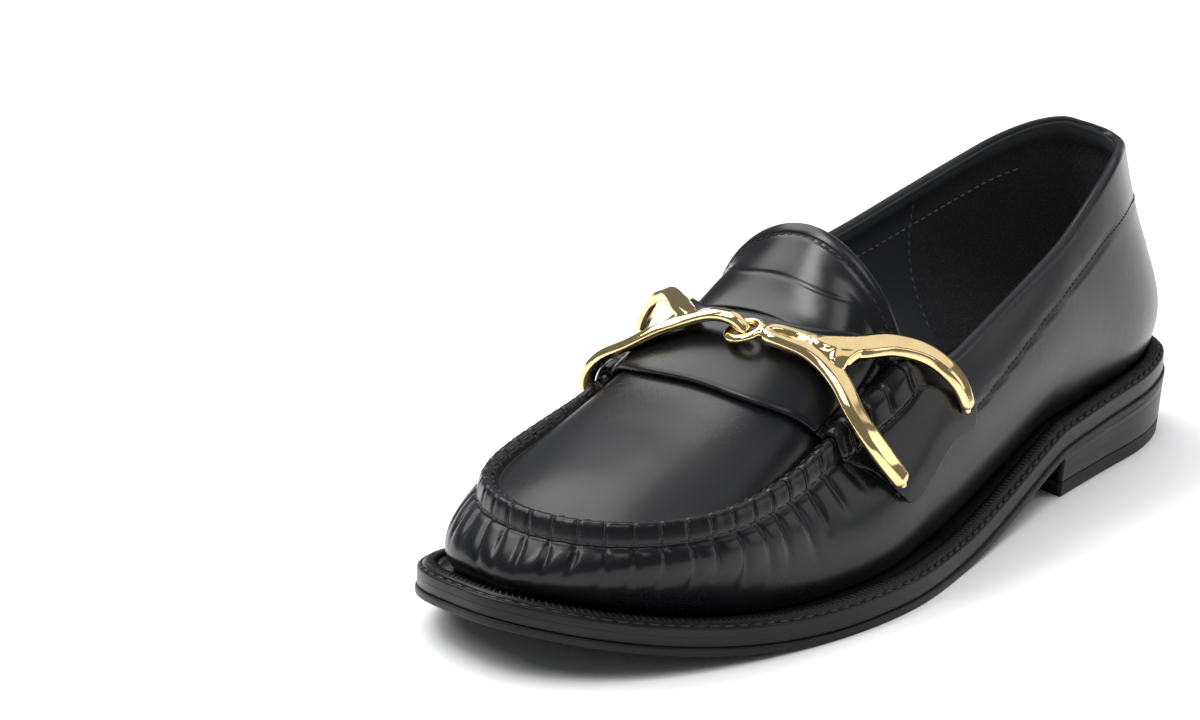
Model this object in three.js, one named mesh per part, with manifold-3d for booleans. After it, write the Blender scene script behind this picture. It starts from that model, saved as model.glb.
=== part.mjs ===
// A left moccasin loafer in smooth black leather, in millimetres, with +X to the toe,
// +Y to the wearer's left, which is the outer side of the foot, and +Z up from the floor.
// Every piece of leather is worked out from one last: an outline, a wall and a top surface.
import * as THREE from "three";
import { mergeVertices } from "three/addons/utils/BufferGeometryUtils.js";
import Module from "manifold-3d";

const wasm = await Module();
wasm.setup();

// Sizes of the last and the sole
const length = 290;
const ballWidth = 103.5;
const collarHeight = 64;
const instepHeight = 64;
const heelHeight = 12.6;
const heelWedge = 0.06;
const heelLength = 84;
const breastBow = 5;
const toeSpring = 13.5;
const springStart = 205;
const waistStart = 160;

// Thicknesses of the layers and the leather
const outsoleThickness = 2.3;
const midsoleThickness = 2.3;
const weltThickness = 2.6;
const layerGap = 0.3;
const topLiftThickness = 4.5;
const heelTaper = 1.2;
const heelSeat = 0.5;
const outsoleLip = 0.5;
const insoleThickness = 3.2;
const leather = 2;
const strapLeather = 1.8;
const tongueLeather = 2.4;
const stripLeather = 1.3;
const tongueInset = 1.3;
const tongueLift = 1.4;
const tongueSpread = { outer: 4, inner: 2.6 };
const tongueGap = 0.9;
const fit = 0.35;
const strapFit = 0.5;

// Welt, seam and strap
const weltWidth = 17;
const beadStart = 1.3;
const beadWidth = 4.2;
const beadHeight = 1.5;
const seamHeight = 5.6;
const seamDrop = 3.3;
const seamWidth = 6;
const wallPull = 10;
const collarRoll = 3.5;
const rollWidth = 9;
const rollDrop = 4.8;
const apronWidth = 0.661 * ballWidth;
const apronLength = 55;
const apronTip = 270;
const apronTaper = 5.5;
const throatX = 181;
const throatCorner = 0.552;
const tongueEnd = 0.562;
const tongueRound = 0.0045;
const seamStart = 0.5;
const seamFull = 0.55;
const stripTop = 0.8;
const stripFoot = 0.03;
const stripHead = 0.007;
const barWidth = 5;
const barThickness = 2.8;
const barHub = 0.42;
const postRadius = 1.4;
const postGap = 1;
const link = { along: 0.6648, side: 0.012, up: 0.955 };
const linkRing = { long: 4.7, wide: 3.4, wire: 1.1, tilt: 0.17, fall: 0.45 };

// A table has named columns and one row for each section; its lengths are shares of the sizes above
const table = (names, rows) => rows.map((row) => Object.fromEntries(names.map((name, k) => [name, row[k]])));

// Edge of the sole from the back of the heel, along the outer side to the toe, and back along the inner side
const OUTLINE = table(["along", "side"], [
  [0, -0.01], [0.014, 0.106], [0.045, 0.203], [0.11, 0.271], [0.207, 0.3], [0.31, 0.333],
  [0.414, 0.386], [0.517, 0.444], [0.614, 0.493], [0.7, 0.488], [0.786, 0.44], [0.862, 0.362],
  [0.928, 0.256], [0.976, 0.126], [1, -0.019], [0.995, -0.164], [0.981, -0.285], [0.953, -0.377],
  [0.91, -0.444], [0.838, -0.488], [0.752, -0.497], [0.662, -0.44], [0.572, -0.353], [0.483, -0.29],
  [0.386, -0.275], [0.29, -0.295], [0.193, -0.314], [0.11, -0.3], [0.045, -0.222], [0.014, -0.121],
]);

// Collar's upper edge on the outer side and on the inner side, with its height above the sole
const COLLAR_OUTER = table(["along", "side", "up"], [
  [0.041, -0.01, 0.943], [0.0476, 0.025, 0.942], [0.0603, 0.063, 0.951], [0.086, 0.108, 0.973],
  [0.138, 0.184, 0.999], [0.193, 0.234, 0.952], [0.266, 0.273, 0.839], [0.321, 0.295, 0.8],
  [0.393, 0.312, 0.773], [0.448, 0.327, 0.75], [0.497, 0.343, 0.732],
]);
const COLLAR_INNER = table(["along", "side", "up"], [
  [0.507, -0.353, 0.885], [0.431, -0.335, 0.878], [0.362, -0.319, 0.867], [0.283, -0.301, 0.867],
  [0.19, -0.276, 0.937], [0.138, -0.245, 0.987], [0.097, -0.195, 1.022], [0.069, -0.143, 1.027],
  [0.053, -0.095, 1.009], [0.0441, -0.052, 0.977],
]);

// Top surface inside the seam: height of its crest and of its edge, and how round it is
const TOP = table(["along", "crest", "edge", "round", "lean", "centre"], [
  [0.545, 1.42, 0.835, 0.8, 0.02, -0.012], [0.562, 1.3, 0.81, 0.74, 0.02, -0.014],
  [0.586, 1.159, 0.761, 0.6, 0.025, -0.02], [0.617, 0.991, 0.691, 0.44, 0.03, -0.028],
  [0.666, 0.863, 0.625, 0.42, 0.035, -0.032], [0.714, 0.758, 0.55, 0.45, 0.035, -0.03],
  [0.776, 0.656, 0.484, 0.6, 0.03, -0.025], [0.828, 0.569, 0.436, 0.8, 0.015, -0.022],
  [0.879, 0.469, 0.393, 1, 0, -0.02], [0.931, 0.341, 0.341, 1, 0, -0.02],
  [0.96, 0.27, 0.3, 1, 0, -0.02],
]);

// Wall of the upper by its place round the sole, in shares of wallPull and of the wall's own height:
// inset of its foot, and pull of its two curve handles
const WALL = table(["around", "inset", "lowOut", "lowUp", "highOut", "highDown"], [
  [0, 0.6, 0.95, 0.3, 0.5, 0.5], [0.065, 0.6, 0.9, 0.3, 0.6, 0.5], [0.15, 0.8, 0.7, 0.3, 0.8, 0.5],
  [0.237, 1, 0.8, 0.35, 0.9, 0.4], [0.315, 0.9, 0.5, 0.35, 0.6, 0.35],
  [0.386, 0.9, 0.4, 0.35, 0.6, 0.4], [0.474, 0.9, 0.45, 0.35, 0.65, 0.35],
  [0.53, 1, 0.55, 0.35, 0.75, 0.35], [0.57, 0.95, 0.5, 0.35, 0.7, 0.35],
  [0.614, 0.9, 0.5, 0.35, 0.65, 0.35], [0.69, 0.9, 0.7, 0.3, 0.7, 0.35],
  [0.77, 0.9, 0.9, 0.35, 0.8, 0.4], [0.85, 0.75, 0.7, 0.3, 0.75, 0.5],
  [0.92, 0.6, 0.85, 0.3, 0.5, 0.5], [1, 0.6, 0.95, 0.3, 0.5, 0.5],
]);

// Profiles over the top of the wall: in shares of collarRoll, and of the seam's width and height
const RIM_PROFILE = table(["in", "up"], [
  [0.086, 0.286], [0.314, 0.514], [0.629, 0.543], [0.886, 0.371], [1, 0.086], [0.914, -0.257],
]);
const SEAM_PROFILE = table(["in", "up"], [
  [0.08, 0.36], [0.2, 0.8], [0.38, 1], [0.68, 0.94], [0.87, 0.74], [1, 0.59],
]);

// Strap ends on the wall: where each line from the rear edge (0) to the front edge (1) stops
const STRAP_END = table(["line", "along", "height"], [
  [0, 0.49, 0.82], [0.1, 0.491, 0.73], [0.2, 0.498, 0.67], [0.35, 0.517, 0.66], [0.5, 0.54, 0.63],
  [0.62, 0.564, 0.56], [0.74, 0.588, 0.49], [0.84, 0.605, 0.46], [0.92, 0.618, 0.48],
  [0.97, 0.627, 0.55], [1, 0.63, 0.64],
]);
// Middle lines of the metal bars, with their width: from the link to the tip of each arm
const BAR_COLUMNS = ["along", "side", "up", "wide"];
const linkSide = link.side + (linkRing.long + linkRing.wire / 2) / ballWidth;
const OUTER_REAR_ARM = table(BAR_COLUMNS, [
  [0.66, linkSide, 0.966, 0.5], [0.6517, 0.092, 0.966, 0.52], [0.6455, 0.135, 0.955, 0.58],
  [0.6414, 0.184, 0.944, 0.8], [0.6362, 0.227, 0.934, 1], [0.6138, 0.264, 0.916, 1],
  [0.5759, 0.3, 0.897, 0.95], [0.5414, 0.35, 0.829, 0.9], [0.5234, 0.404, 0.717, 0.82],
  [0.5159, 0.429, 0.591, 0.6],
]);
const OUTER_FRONT_ARM = table(BAR_COLUMNS, [
  [0.66, linkSide, 0.966, 0.5], [0.6641, 0.092, 0.953, 0.56], [0.6614, 0.14, 0.938, 0.62],
  [0.6545, 0.193, 0.919, 0.9], [0.651, 0.246, 0.878, 1.15], [0.6538, 0.304, 0.809, 1.1],
  [0.6579, 0.363, 0.698, 1.02], [0.6497, 0.421, 0.566, 0.96], [0.629, 0.456, 0.417, 0.78],
]);
const INNER_FRONT_ARM = table(BAR_COLUMNS, [
  [0.6655, 0.014, 0.927, 0.4], [0.6652, 0.012, 0.956, 0.45], [0.6652, -0.008, 0.986, 0.55],
  [0.6648, -0.041, 0.998, 0.7], [0.6655, -0.087, 0.992, 0.9], [0.669, -0.159, 0.948, 1.1],
  [0.6793, -0.227, 0.894, 1.1], [0.6907, -0.307, 0.809, 1.02], [0.6966, -0.381, 0.738, 0.95],
  [0.6966, -0.427, 0.653, 0.88], [0.6931, -0.444, 0.559, 0.62],
]);
const INNER_REAR_ARM = table(BAR_COLUMNS, [
  [0.6676, -0.147, 0.956, 0.9], [0.6552, -0.208, 0.964, 1], [0.6397, -0.266, 0.966, 1],
  [0.6234, -0.329, 0.955, 0.95], [0.6145, -0.385, 0.909, 0.88], [0.609, -0.433, 0.82, 0.82],
  [0.6055, -0.464, 0.727, 0.6],
]);

// Where the strap's rear and front edges cross the seam on each side, and their bow between the sides
const strapRear = { outer: 0.568, inner: 0.58, bow: 0.05 };
const strapFront = { outer: 0.679, inner: 0.686, bow: 0.031 };

// Shares of the way round the sole: the toe's tip, and the stretches where the bars' posts stand
const toeTip = 0.474;
const postStretch = { outer: [0.12, 0.4], inner: [0.9, 0.6] };

// Cross section of a bar: flat on top, with bevels, in shares of its width and thickness
const BAR_SECTION = table(["across", "up"], [
  [-0.5, -0.25], [-0.3, -0.5], [0.3, -0.5], [0.5, -0.25], [0.5, 0.1], [0.28, 0.5], [-0.28, 0.5], [-0.5, 0.1],
]);

const clamp = (t) => Math.min(1, Math.max(0, t));
const mix = (a, b, t) => a + (b - a) * t;
const ease = (t) => clamp(t) ** 2 * (3 - 2 * clamp(t));
const vec = (x, y, z) => new THREE.Vector3(x, y, z);
const steps = (count) => Array.from({ length: count + 1 }, (_, k) => k / count);

// A column of a table at a place along it, as one smooth curve through its rows
function read(rows, key, name, at) {
  let k = 0;
  while (k < rows.length - 2 && rows[k + 1][key] < at) k += 1;
  const slope = (n) => {
    const low = rows[Math.max(0, n - 1)];
    const high = rows[Math.min(rows.length - 1, n + 1)];
    return (high[name] - low[name]) / (high[key] - low[key]);
  };
  const [from, to] = [rows[k], rows[k + 1]];
  const span = to[key] - from[key];
  const t = clamp((at - from[key]) / span);
  return (
    (2 * t ** 3 - 3 * t ** 2 + 1) * from[name] +
    (t ** 3 - 2 * t ** 2 + t) * span * slope(k) +
    (3 * t ** 2 - 2 * t ** 3) * to[name] +
    (t ** 3 - t ** 2) * span * slope(k + 1)
  );
}

// Height of the underside of the sole above the floor, and of the top of the welt
function soleBottom(x) {
  if (x > springStart) return toeSpring * ((x - springStart) / (length - springStart)) ** 2;
  if (x > waistStart) return 0;
  if (x < heelLength) return heelHeight + heelWedge * (heelLength - x);
  const t = (waistStart - x) / (waistStart - heelLength);
  return heelHeight * (1.6 * t ** 2 - 0.6 * t ** 3);
}
const midsoleBase = outsoleThickness + layerGap;
const weltBase = midsoleBase + midsoleThickness + layerGap;
const soleEdge = weltBase + weltThickness;
const soleTop = (x) => soleBottom(x) + soleEdge;

// Closed curves round the shoe: a place is a share of the way round from the back of the heel
function closedCurve(points) {
  const curve = new THREE.CatmullRomCurve3(points, true, "catmullrom", 0.5);
  curve.arcLengthDivisions = points.length * 20;
  const lengths = curve.getLengths();
  const wrap = (share) => ((share % 1) + 1) % 1;
  return {
    at: (share) => curve.getPointAt(wrap(share)),
    out: (share) => {
      const t = curve.getTangentAt(wrap(share));
      return vec(-t.y, t.x, 0).normalize();
    },
    shareOf: (index) => lengths[index * 20] / lengths[lengths.length - 1],
  };
}
const outline = closedCurve(OUTLINE.map((row) => vec(row.along * length, row.side * ballWidth, 0)));

const inset = (share, distance) => outline.at(share).addScaledVector(outline.out(share), -distance);

// Top surface inside the seam, as a height over the plan
const apronStart = apronTip - apronLength;
function apronHalf(x) {
  if (x < apronStart) return apronWidth / 2 - apronTaper * ((apronStart - x) / apronLength) ** 2;
  return (apronWidth / 2) * Math.sqrt(Math.max(0, 1 - ((x - apronStart) / apronLength) ** 3));
}
const top = (name, x) => read(TOP, "along", name, x / length);
const centreY = (x) => top("centre", x) * ballWidth;
function topHeight(x, y) {
  const off = y - centreY(x);
  const share = Math.min(1.05, Math.abs(off) / Math.max(4, apronHalf(x)));
  const round = top("round", x);
  const edge = top("edge", x) * instepHeight;
  const rise = top("crest", x) * instepHeight - edge;
  const fall = round * share ** 2 + (1 - round) * share ** 8;
  return soleTop(x) + edge + rise * (1 - fall) - top("lean", x) * off;
}
function onTop(x, y) {
  return vec(x, y, topHeight(x, y));
}
function topNormal(x, y) {
  const step = 0.2;
  const slopeX = (topHeight(x + step, y) - topHeight(x - step, y)) / (2 * step);
  const slopeY = (topHeight(x, y + step) - topHeight(x, y - step)) / (2 * step);
  return vec(-slopeX, -slopeY, 1).normalize();
}

// The seam's outer line, from the outer throat corner round the toe to the inner throat corner
const seamBlend = (x) => ease((x / length - throatCorner) / (strapFront.outer - throatCorner));
const widthAt = (x) => mix(rollWidth, seamWidth, seamBlend(x));
const dropAt = (x) => mix(rollDrop, seamDrop, seamBlend(x));
function seamPoint(turn, side) {
  const reach = Math.cos(Math.min(1, turn) * Math.PI / 2) ** (2 / 3);
  const back = Math.max(0, turn - 1) * (apronStart - throatCorner * length);
  const x = apronStart + apronLength * reach - back;
  const grow = widthAt(x);
  const half = turn < 1 ? (apronWidth / 2) * Math.sin(turn * Math.PI / 2) : apronHalf(x);
  const inner = onTop(x, centreY(x) + side * half);
  const outX = x + grow * reach;
  const outHalf = half + grow * Math.sin(Math.min(1, turn) * Math.PI / 2);
  return vec(outX, centreY(x) + side * outHalf, inner.z - dropAt(x));
}
const seamTurns = [0.18, 0.36, 0.54, 0.7, 0.84, 0.95, 1.08, 1.28, 1.5, 1.75, 2];
const collarPoint = (row) => {
  const x = row.along * length;
  return vec(x, row.side * ballWidth, soleTop(x) + row.up * collarHeight);
};
const seamLine = [
  ...[...seamTurns].reverse().map((turn) => seamPoint(turn, 1)),
  seamPoint(0, 1),
  ...seamTurns.map((turn) => seamPoint(turn, -1)),
];
const rim = closedCurve([...COLLAR_OUTER.map(collarPoint), ...seamLine, ...COLLAR_INNER.map(collarPoint)]);
const rimCorners = [
  rim.shareOf(COLLAR_OUTER.length),
  rim.shareOf(COLLAR_OUTER.length + seamLine.length - 1),
];

// The share round the sole where a curve reaches a place along the shoe, on one side
function shareAt(curve, x, side) {
  let [low, high] = side > 0 ? [0, toeTip] : [1, toeTip + 0.016];
  for (let k = 0; k < 30; k += 1) {
    const middle = (low + high) / 2;
    if (curve(middle).x < x) low = middle;
    else high = middle;
  }
  return (low + high) / 2;
}
const corners = [1, -1].map((side) => shareAt(outline.at, throatCorner * length, side));
function rimShare(share) {
  const s = ((share % 1) + 1) % 1;
  if (s < corners[0]) return (s / corners[0]) * rimCorners[0];
  if (s > corners[1]) return mix(rimCorners[1], 1, (s - corners[1]) / (1 - corners[1]));
  return mix(rimCorners[0], rimCorners[1], (s - corners[0]) / (corners[1] - corners[0]));
}
const rimPoint = (share) => rim.at(rimShare(share));
const rimOut = (share) => rim.out(rimShare(share));

// Outer face of the upper's wall: round the shoe by share, and up from the sole (0) to the rim (1)
const wall = (name, share) => read(WALL, "around", name, ((share % 1) + 1) % 1);
function wallPoint(share, up) {
  const out = outline.out(share);
  const foot = inset(share, wall("inset", share) * wallPull);
  foot.z = soleTop(foot.x) + fit;
  const head = rimPoint(share);
  const rise = head.z - foot.z;
  const low = foot.clone().addScaledVector(out, wall("lowOut", share) * wallPull);
  low.z += rise * wall("lowUp", share);
  const high = head.clone().addScaledVector(rimOut(share), wall("highOut", share) * wallPull);
  high.z -= rise * wall("highDown", share);
  return new THREE.CubicBezierCurve3(foot, low, high, head).getPoint(up);
}
function wallNormal(share, up) {
  const [ds, du] = [0.002, 0.01];
  const along = wallPoint(share + ds, up).sub(wallPoint(share - ds, up));
  const rise = wallPoint(share, Math.min(1, up + du)).sub(wallPoint(share, Math.max(0, up - du)));
  return rise.cross(along).normalize();
}

// Points from the rim over the seam, or over the rolled collar behind the throat
function capPoints(share) {
  const head = rimPoint(share);
  const out = rimOut(share);
  const seam = ease((head.x / length - seamStart) / (seamFull - seamStart));
  const width = widthAt(head.x);
  const inner = head.clone().addScaledVector(out, -width);
  const lift = topHeight(inner.x, inner.y) - head.z;
  return SEAM_PROFILE.map((row, k) => {
    const last = k === SEAM_PROFILE.length - 1;
    const roll = RIM_PROFILE[k];
    const up = last ? lift : Math.max(row.up * seamHeight, row.in * lift);
    const point = head.clone().addScaledVector(out, -mix(roll.in * collarRoll, row.in * width, seam));
    point.z += mix(roll.up * collarRoll, up, seam);
    return point;
  });
}
const seamInner = (share) => capPoints(share).pop();

// Closed solids from grids of points
function solidFrom(triangles) {
  const keys = new Map();
  const points = [];
  const faces = [];
  const indexOf = (p) => {
    const key = [p.x, p.y, p.z].map((v) => Math.round(v * 2000)).join();
    if (!keys.has(key)) {
      keys.set(key, points.length);
      points.push(p);
    }
    return keys.get(key);
  };
  for (const corner of triangles) {
    const face = corner.map(indexOf);
    if (new Set(face).size === 3) faces.push(face);
  }
  const volume = faces.reduce((sum, [a, b, c]) => {
    return sum + points[a].dot(points[b].clone().cross(points[c]));
  }, 0);
  const turned = volume < 0 ? faces.map(([a, b, c]) => [a, c, b]) : faces;
  const geometry = new THREE.BufferGeometry();
  const flat = points.flatMap((p) => [p.x, p.y, p.z]);
  geometry.setAttribute("position", new THREE.Float32BufferAttribute(flat, 3));
  geometry.setIndex(turned.flat());
  return geometry;
}
function gridTriangles(grid, wrapRows = false, wrapColumns = false) {
  const [rows, columns] = [grid.length, grid[0].length];
  const triangles = [];
  for (let i = 0; i < rows - (wrapRows ? 0 : 1); i += 1) {
    for (let j = 0; j < columns - (wrapColumns ? 0 : 1); j += 1) {
      const [a, b] = [grid[i][j], grid[(i + 1) % rows][j]];
      const [c, d] = [grid[(i + 1) % rows][(j + 1) % columns], grid[i][(j + 1) % columns]];
      if (a.distanceTo(c) < b.distanceTo(d)) triangles.push([a, b, c], [a, c, d]);
      else triangles.push([a, b, d], [b, c, d]);
    }
  }
  return triangles;
}
const ringSolid = (grid) => solidFrom(gridTriangles(grid, true, true));

// A slab between two grids of the same size, closed along its four borders
function slabSolid(upper, lower) {
  const [last, end] = [upper.length - 1, upper[0].length - 1];
  const border = (pick) => gridTriangles(pick(upper).map((p, k) => [p, pick(lower)[k]]));
  const flip = (triangles) => triangles.map(([a, b, c]) => [a, c, b]);
  return solidFrom([
    ...gridTriangles(upper),
    ...flip(gridTriangles(lower)),
    ...flip(border((g) => g.map((row) => row[0]))),
    ...border((g) => g.map((row) => row[end])),
    ...border((g) => g[0]),
    ...flip(border((g) => g[last])),
  ]);
}

// The upper: wall, seam and apron outside, and the same shape one leather inside
function upperSolid() {
  const throat = [1, -1].map((side) => shareAt(rimPoint, throatX, side));
  const edges = throat.map(seamInner);
  const counts = [[0, corners[0], 16], [corners[0], throat[0], 4], [throat[0], throat[1], 34],
    [throat[1], corners[1], 4], [corners[1], 1, 16]];
  const shares = counts.flatMap(([from, to, count]) => {
    return steps(count).slice(0, -1).map((t) => mix(from, to, t));
  });
  const ups = [0, 0.12, 0.27, 0.44, 0.62, 0.8, 0.92, 1];
  const across = [0.12, 0.28, 0.44, 0.58, 0.7, 0.81, 0.91, 1];
  return ringSolid(shares.map((share) => {
    const outside = ups.map((up) => wallPoint(share, up));
    const inside = [1, 0.84, 0.66, 0.46, 0.24, 0].map((up) => {
      const at = Math.min(up, 0.95);
      return wallPoint(share, at).addScaledVector(wallNormal(share, at), -leather);
    });
    const cap = capPoints(share);
    const start = cap[cap.length - 1];
    const onApron = share >= throat[0] && share <= throat[1];
    const t = onApron ? (share - throat[0]) / (throat[1] - throat[0]) : 0;
    const end = onApron ? edges[0].clone().lerp(edges[1], t) : start;
    const plan = across.map((k) => start.clone().lerp(end, k));
    const apron = plan.map((p) => (onApron ? onTop(p.x, p.y) : start.clone()));
    const under = [start, ...plan].map((p) => {
      const shift = onApron ? topNormal(p.x, p.y) : vec(0, 0, 1);
      const from = onApron ? onTop(p.x, p.y) : start;
      return from.clone().addScaledVector(shift, -leather);
    });
    return [...outside, ...cap, ...apron, ...under.reverse(), ...inside];
  }));
}

// Layers of the sole: cross lines from the back of the heel to the toe, each from side to side
function plate(edge, base, thickness, lines = 44, across = 2) {
  const halves = steps(lines).map((t) => {
    const bend = t - Math.sin(2 * Math.PI * t) * 0.05;
    return [edge(toeTip * bend), edge(1 - (1 - toeTip) * bend)];
  });
  const layer = (lift) => halves.map(([outer, inner]) => steps(across).map((t) => {
    const p = outer.clone().lerp(inner, t);
    p.z = soleBottom(p.x) + base + lift;
    return p;
  }));
  return slabSolid(layer(thickness), layer(0));
}

// The welt: a ring with a raised bead between its edge and the foot of the wall
function weltSolid() {
  const section = table(["in", "up"], [
    [0, 0], [0, weltThickness - 0.5], [0.4, weltThickness], [beadStart, weltThickness],
    [beadStart + 0.1 * beadWidth, weltThickness + beadHeight * 0.55],
    [beadStart + 0.75 * beadWidth, weltThickness + beadHeight],
    [beadStart + beadWidth, weltThickness + beadHeight * 0.3],
    [beadStart + 1.1 * beadWidth, weltThickness], [weltWidth, weltThickness], [weltWidth, 0],
  ]);
  const count = 68;
  return ringSolid(steps(count).slice(0, -1).map((share) => section.map((row) => {
    const p = inset(share, row.in);
    p.z = soleBottom(p.x) + weltBase + row.up;
    return p;
  })));
}

// A block of the heel between two heights, with its front face bowed back
function heelSolid(lowZ, highZ, grow) {
  const front = [1, -1].map((side) => shareAt(outline.at, heelLength, side));
  const rows = steps(12).map((t) => {
    const reach = Math.sin((t * Math.PI) / 2) ** 1.15;
    const bow = breastBow * reach ** 6;
    const ends = [front[0] * reach, 1 - (1 - front[1]) * reach].map((share) => inset(share, 0));
    return steps(4).map((across) => {
      const p = ends[0].clone().lerp(ends[1], across);
      p.x -= bow * (1 - (2 * across - 1) ** 2);
      return p;
    });
  });
  const lastRow = rows[rows.length - 1];
  const middle = lastRow[2];
  const heelHalf = (lastRow[0].y - lastRow[4].y) / 2;
  const layer = (height) => rows.map((row) => row.map((p) => {
    const inwards = heelTaper - grow(height(p.x));
    const side = middle.y + (p.y - middle.y) * (1 - inwards / heelHalf);
    const along = heelLength - (heelLength - p.x) * (1 - inwards / heelLength);
    return vec(along, side, height(p.x));
  }));
  return slabSolid(layer(highZ), layer(lowZ));
}
const flare = (z) => (heelTaper * z) / heelHeight;

// The tongue: the top surface carried on behind the throat, up to its rounded end
function tongueSolid() {
  const startX = throatX - tongueGap;
  const grid = steps(9).map((t) => steps(12).map((across) => {
    const b = 2 * across - 1;
    const x = mix(startX, (tongueEnd - tongueRound * b ** 4) * length, t);
    const y = centreY(x) + b * (apronHalf(x) - tongueInset);
    const free = ease((t - 0.7) / 0.3);
    const spread = b * (b > 0 ? tongueSpread.outer : tongueSpread.inner);
    return [onTop(x, y).add(vec(0, spread * free, tongueLift * free * b ** 2)), topNormal(x, y)];
  }));
  const layer = (drop) => grid.map((row) => row.map(([p, n]) => p.clone().addScaledVector(n, -drop)));
  return slabSolid(layer(0), layer(tongueLeather));
}

// The strap: over the apron, over the seam on both sides and down both walls to its lobed ends
function strapSide(line, side) {
  const rear = side > 0 ? strapRear.outer : strapRear.inner;
  const front = side > 0 ? strapFront.outer : strapFront.inner;
  const share = shareAt(rimPoint, mix(rear, front, line) * length, side);
  const shift = side > 0 ? 0 : strapRear.inner - strapRear.outer;
  const stop = shareAt(outline.at, (read(STRAP_END, "line", "along", line) + shift) * length, side);
  const low = read(STRAP_END, "line", "height", line);
  const walls = [1, 0.75, 0.5, 0.25, 0.08].map((g) => {
    const at = mix(share, stop, g);
    const up = mix(1, low, g);
    const n = wallNormal(at, up);
    return [wallPoint(at, up), n];
  });
  const cap = capPoints(share);
  const out = rimOut(share);
  const ridge = [[0, 0.2], [1, 0.55], [2, 0.9], [3, 1], [4, 1]].map(([k, up]) => {
    const lean = Math.PI * 0.5 * up;
    return [cap[k], out.clone().multiplyScalar(Math.cos(lean)).add(vec(0, 0, Math.sin(lean)))];
  });
  return { walls: [...walls, ...ridge], inner: cap[cap.length - 1] };
}
const strapLines = [0, 0.08, 0.18, 0.3, 0.42, 0.54, 0.64, 0.74, 0.83, 0.9, 0.96, 1];
const strapColumns = [
  0.025, 0.045, 0.08, 0.13, 0.21, 0.31, 0.42, 0.5, 0.58, 0.69, 0.79, 0.87, 0.92, 0.955, 0.975,
];
function strapSolid() {
  const grid = strapLines.map((line) => {
    const outer = strapSide(line, 1);
    const inner = strapSide(line, -1);
    const bow = mix(strapRear.bow, strapFront.bow, line) * length;
    const middle = strapColumns.map((t) => {
      const p = outer.inner.clone().lerp(inner.inner, t);
      p.x += bow * (1 - (2 * t - 1) ** 4);
      const lift = (2 * t - 1) ** 12 * strapFit;
      return [onTop(p.x, p.y).add(vec(0, 0, lift)), topNormal(p.x, p.y)];
    });
    return [...outer.walls, ...middle, ...inner.walls.reverse()];
  });
  const layer = (lift) => grid.map((row) => row.map(([p, n]) => p.clone().addScaledVector(n, lift)));
  return slabSolid(layer(strapFit + strapLeather), layer(strapFit));
}

// The back strip: laid over the wall up the middle of the heel
function stripSolid() {
  const grid = steps(10).map((t) => steps(6).map((across) => {
    const up = mix(0.1, stripTop, t);
    const share = (2 * across - 1) * mix(stripFoot, stripHead, t);
    return [wallPoint(share, up), wallNormal(share, up)];
  }));
  const layer = (lift) => grid.map((row) => row.map(([p, n]) => p.clone().addScaledVector(n, lift)));
  return slabSolid(layer(fit + stripLeather), layer(fit));
}

// The metal bars: flat on top with bevelled edges, and held off the leather by small posts
function shoePoint(row) {
  const x = row.along * length;
  return vec(x, row.side * ballWidth, soleTop(x) + row.up * instepHeight);
}
function barPiece(rows) {
  const curve = new THREE.CatmullRomCurve3(rows.map(shoePoint), false, "centripetal");
  const count = (rows.length - 1) * 2;
  const rings = steps(count).map((t, k) => {
    const p = curve.getPoint(t);
    const along = curve.getTangent(t);
    const away = vec(0, p.y - centreY(p.x), p.z - barHub * instepHeight);
    const up = away.addScaledVector(along, -away.dot(along)).normalize();
    const side = along.clone().cross(up);
    const at = t * (rows.length - 1);
    const row = Math.min(rows.length - 2, Math.floor(at));
    const wide = mix(rows[row].wide, rows[row + 1].wide, at - row) * barWidth;
    const end = k === 0 || k === count ? 0.55 : 1;
    return BAR_SECTION.map((corner) => p.clone()
      .addScaledVector(side, corner.across * wide * end)
      .addScaledVector(up, corner.up * Math.min(barThickness, wide) * end));
  });
  const caps = [rings[0], rings[count]].map((ring, k) => ring.slice(1, -1).map((p, n) => {
    const face = [ring[0], p, ring[n + 2]];
    return k === 0 ? face.reverse() : face;
  }));
  const sides = gridTriangles(rings, false, true).map(([a, b, c]) => [a, c, b]);
  return solidFrom([...sides, ...caps[0], ...caps[1]]);
}
function linkPiece() {
  const centre = shoePoint(link);
  const circle = (count) => steps(count).slice(0, -1).map((t) => t * Math.PI * 2);
  return ringSolid(circle(16).map((turn) => circle(6).map((round) => {
    const reach = 1 + (linkRing.wire / linkRing.wide) * Math.cos(round) * 0.95;
    const ahead = Math.cos(turn) * linkRing.wide * reach;
    const aside = Math.sin(turn) * linkRing.long * reach;
    const up = aside * linkRing.tilt - ahead * linkRing.fall + linkRing.wire * Math.sin(round);
    return centre.clone().add(vec(ahead, aside, up));
  })));
}

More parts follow.
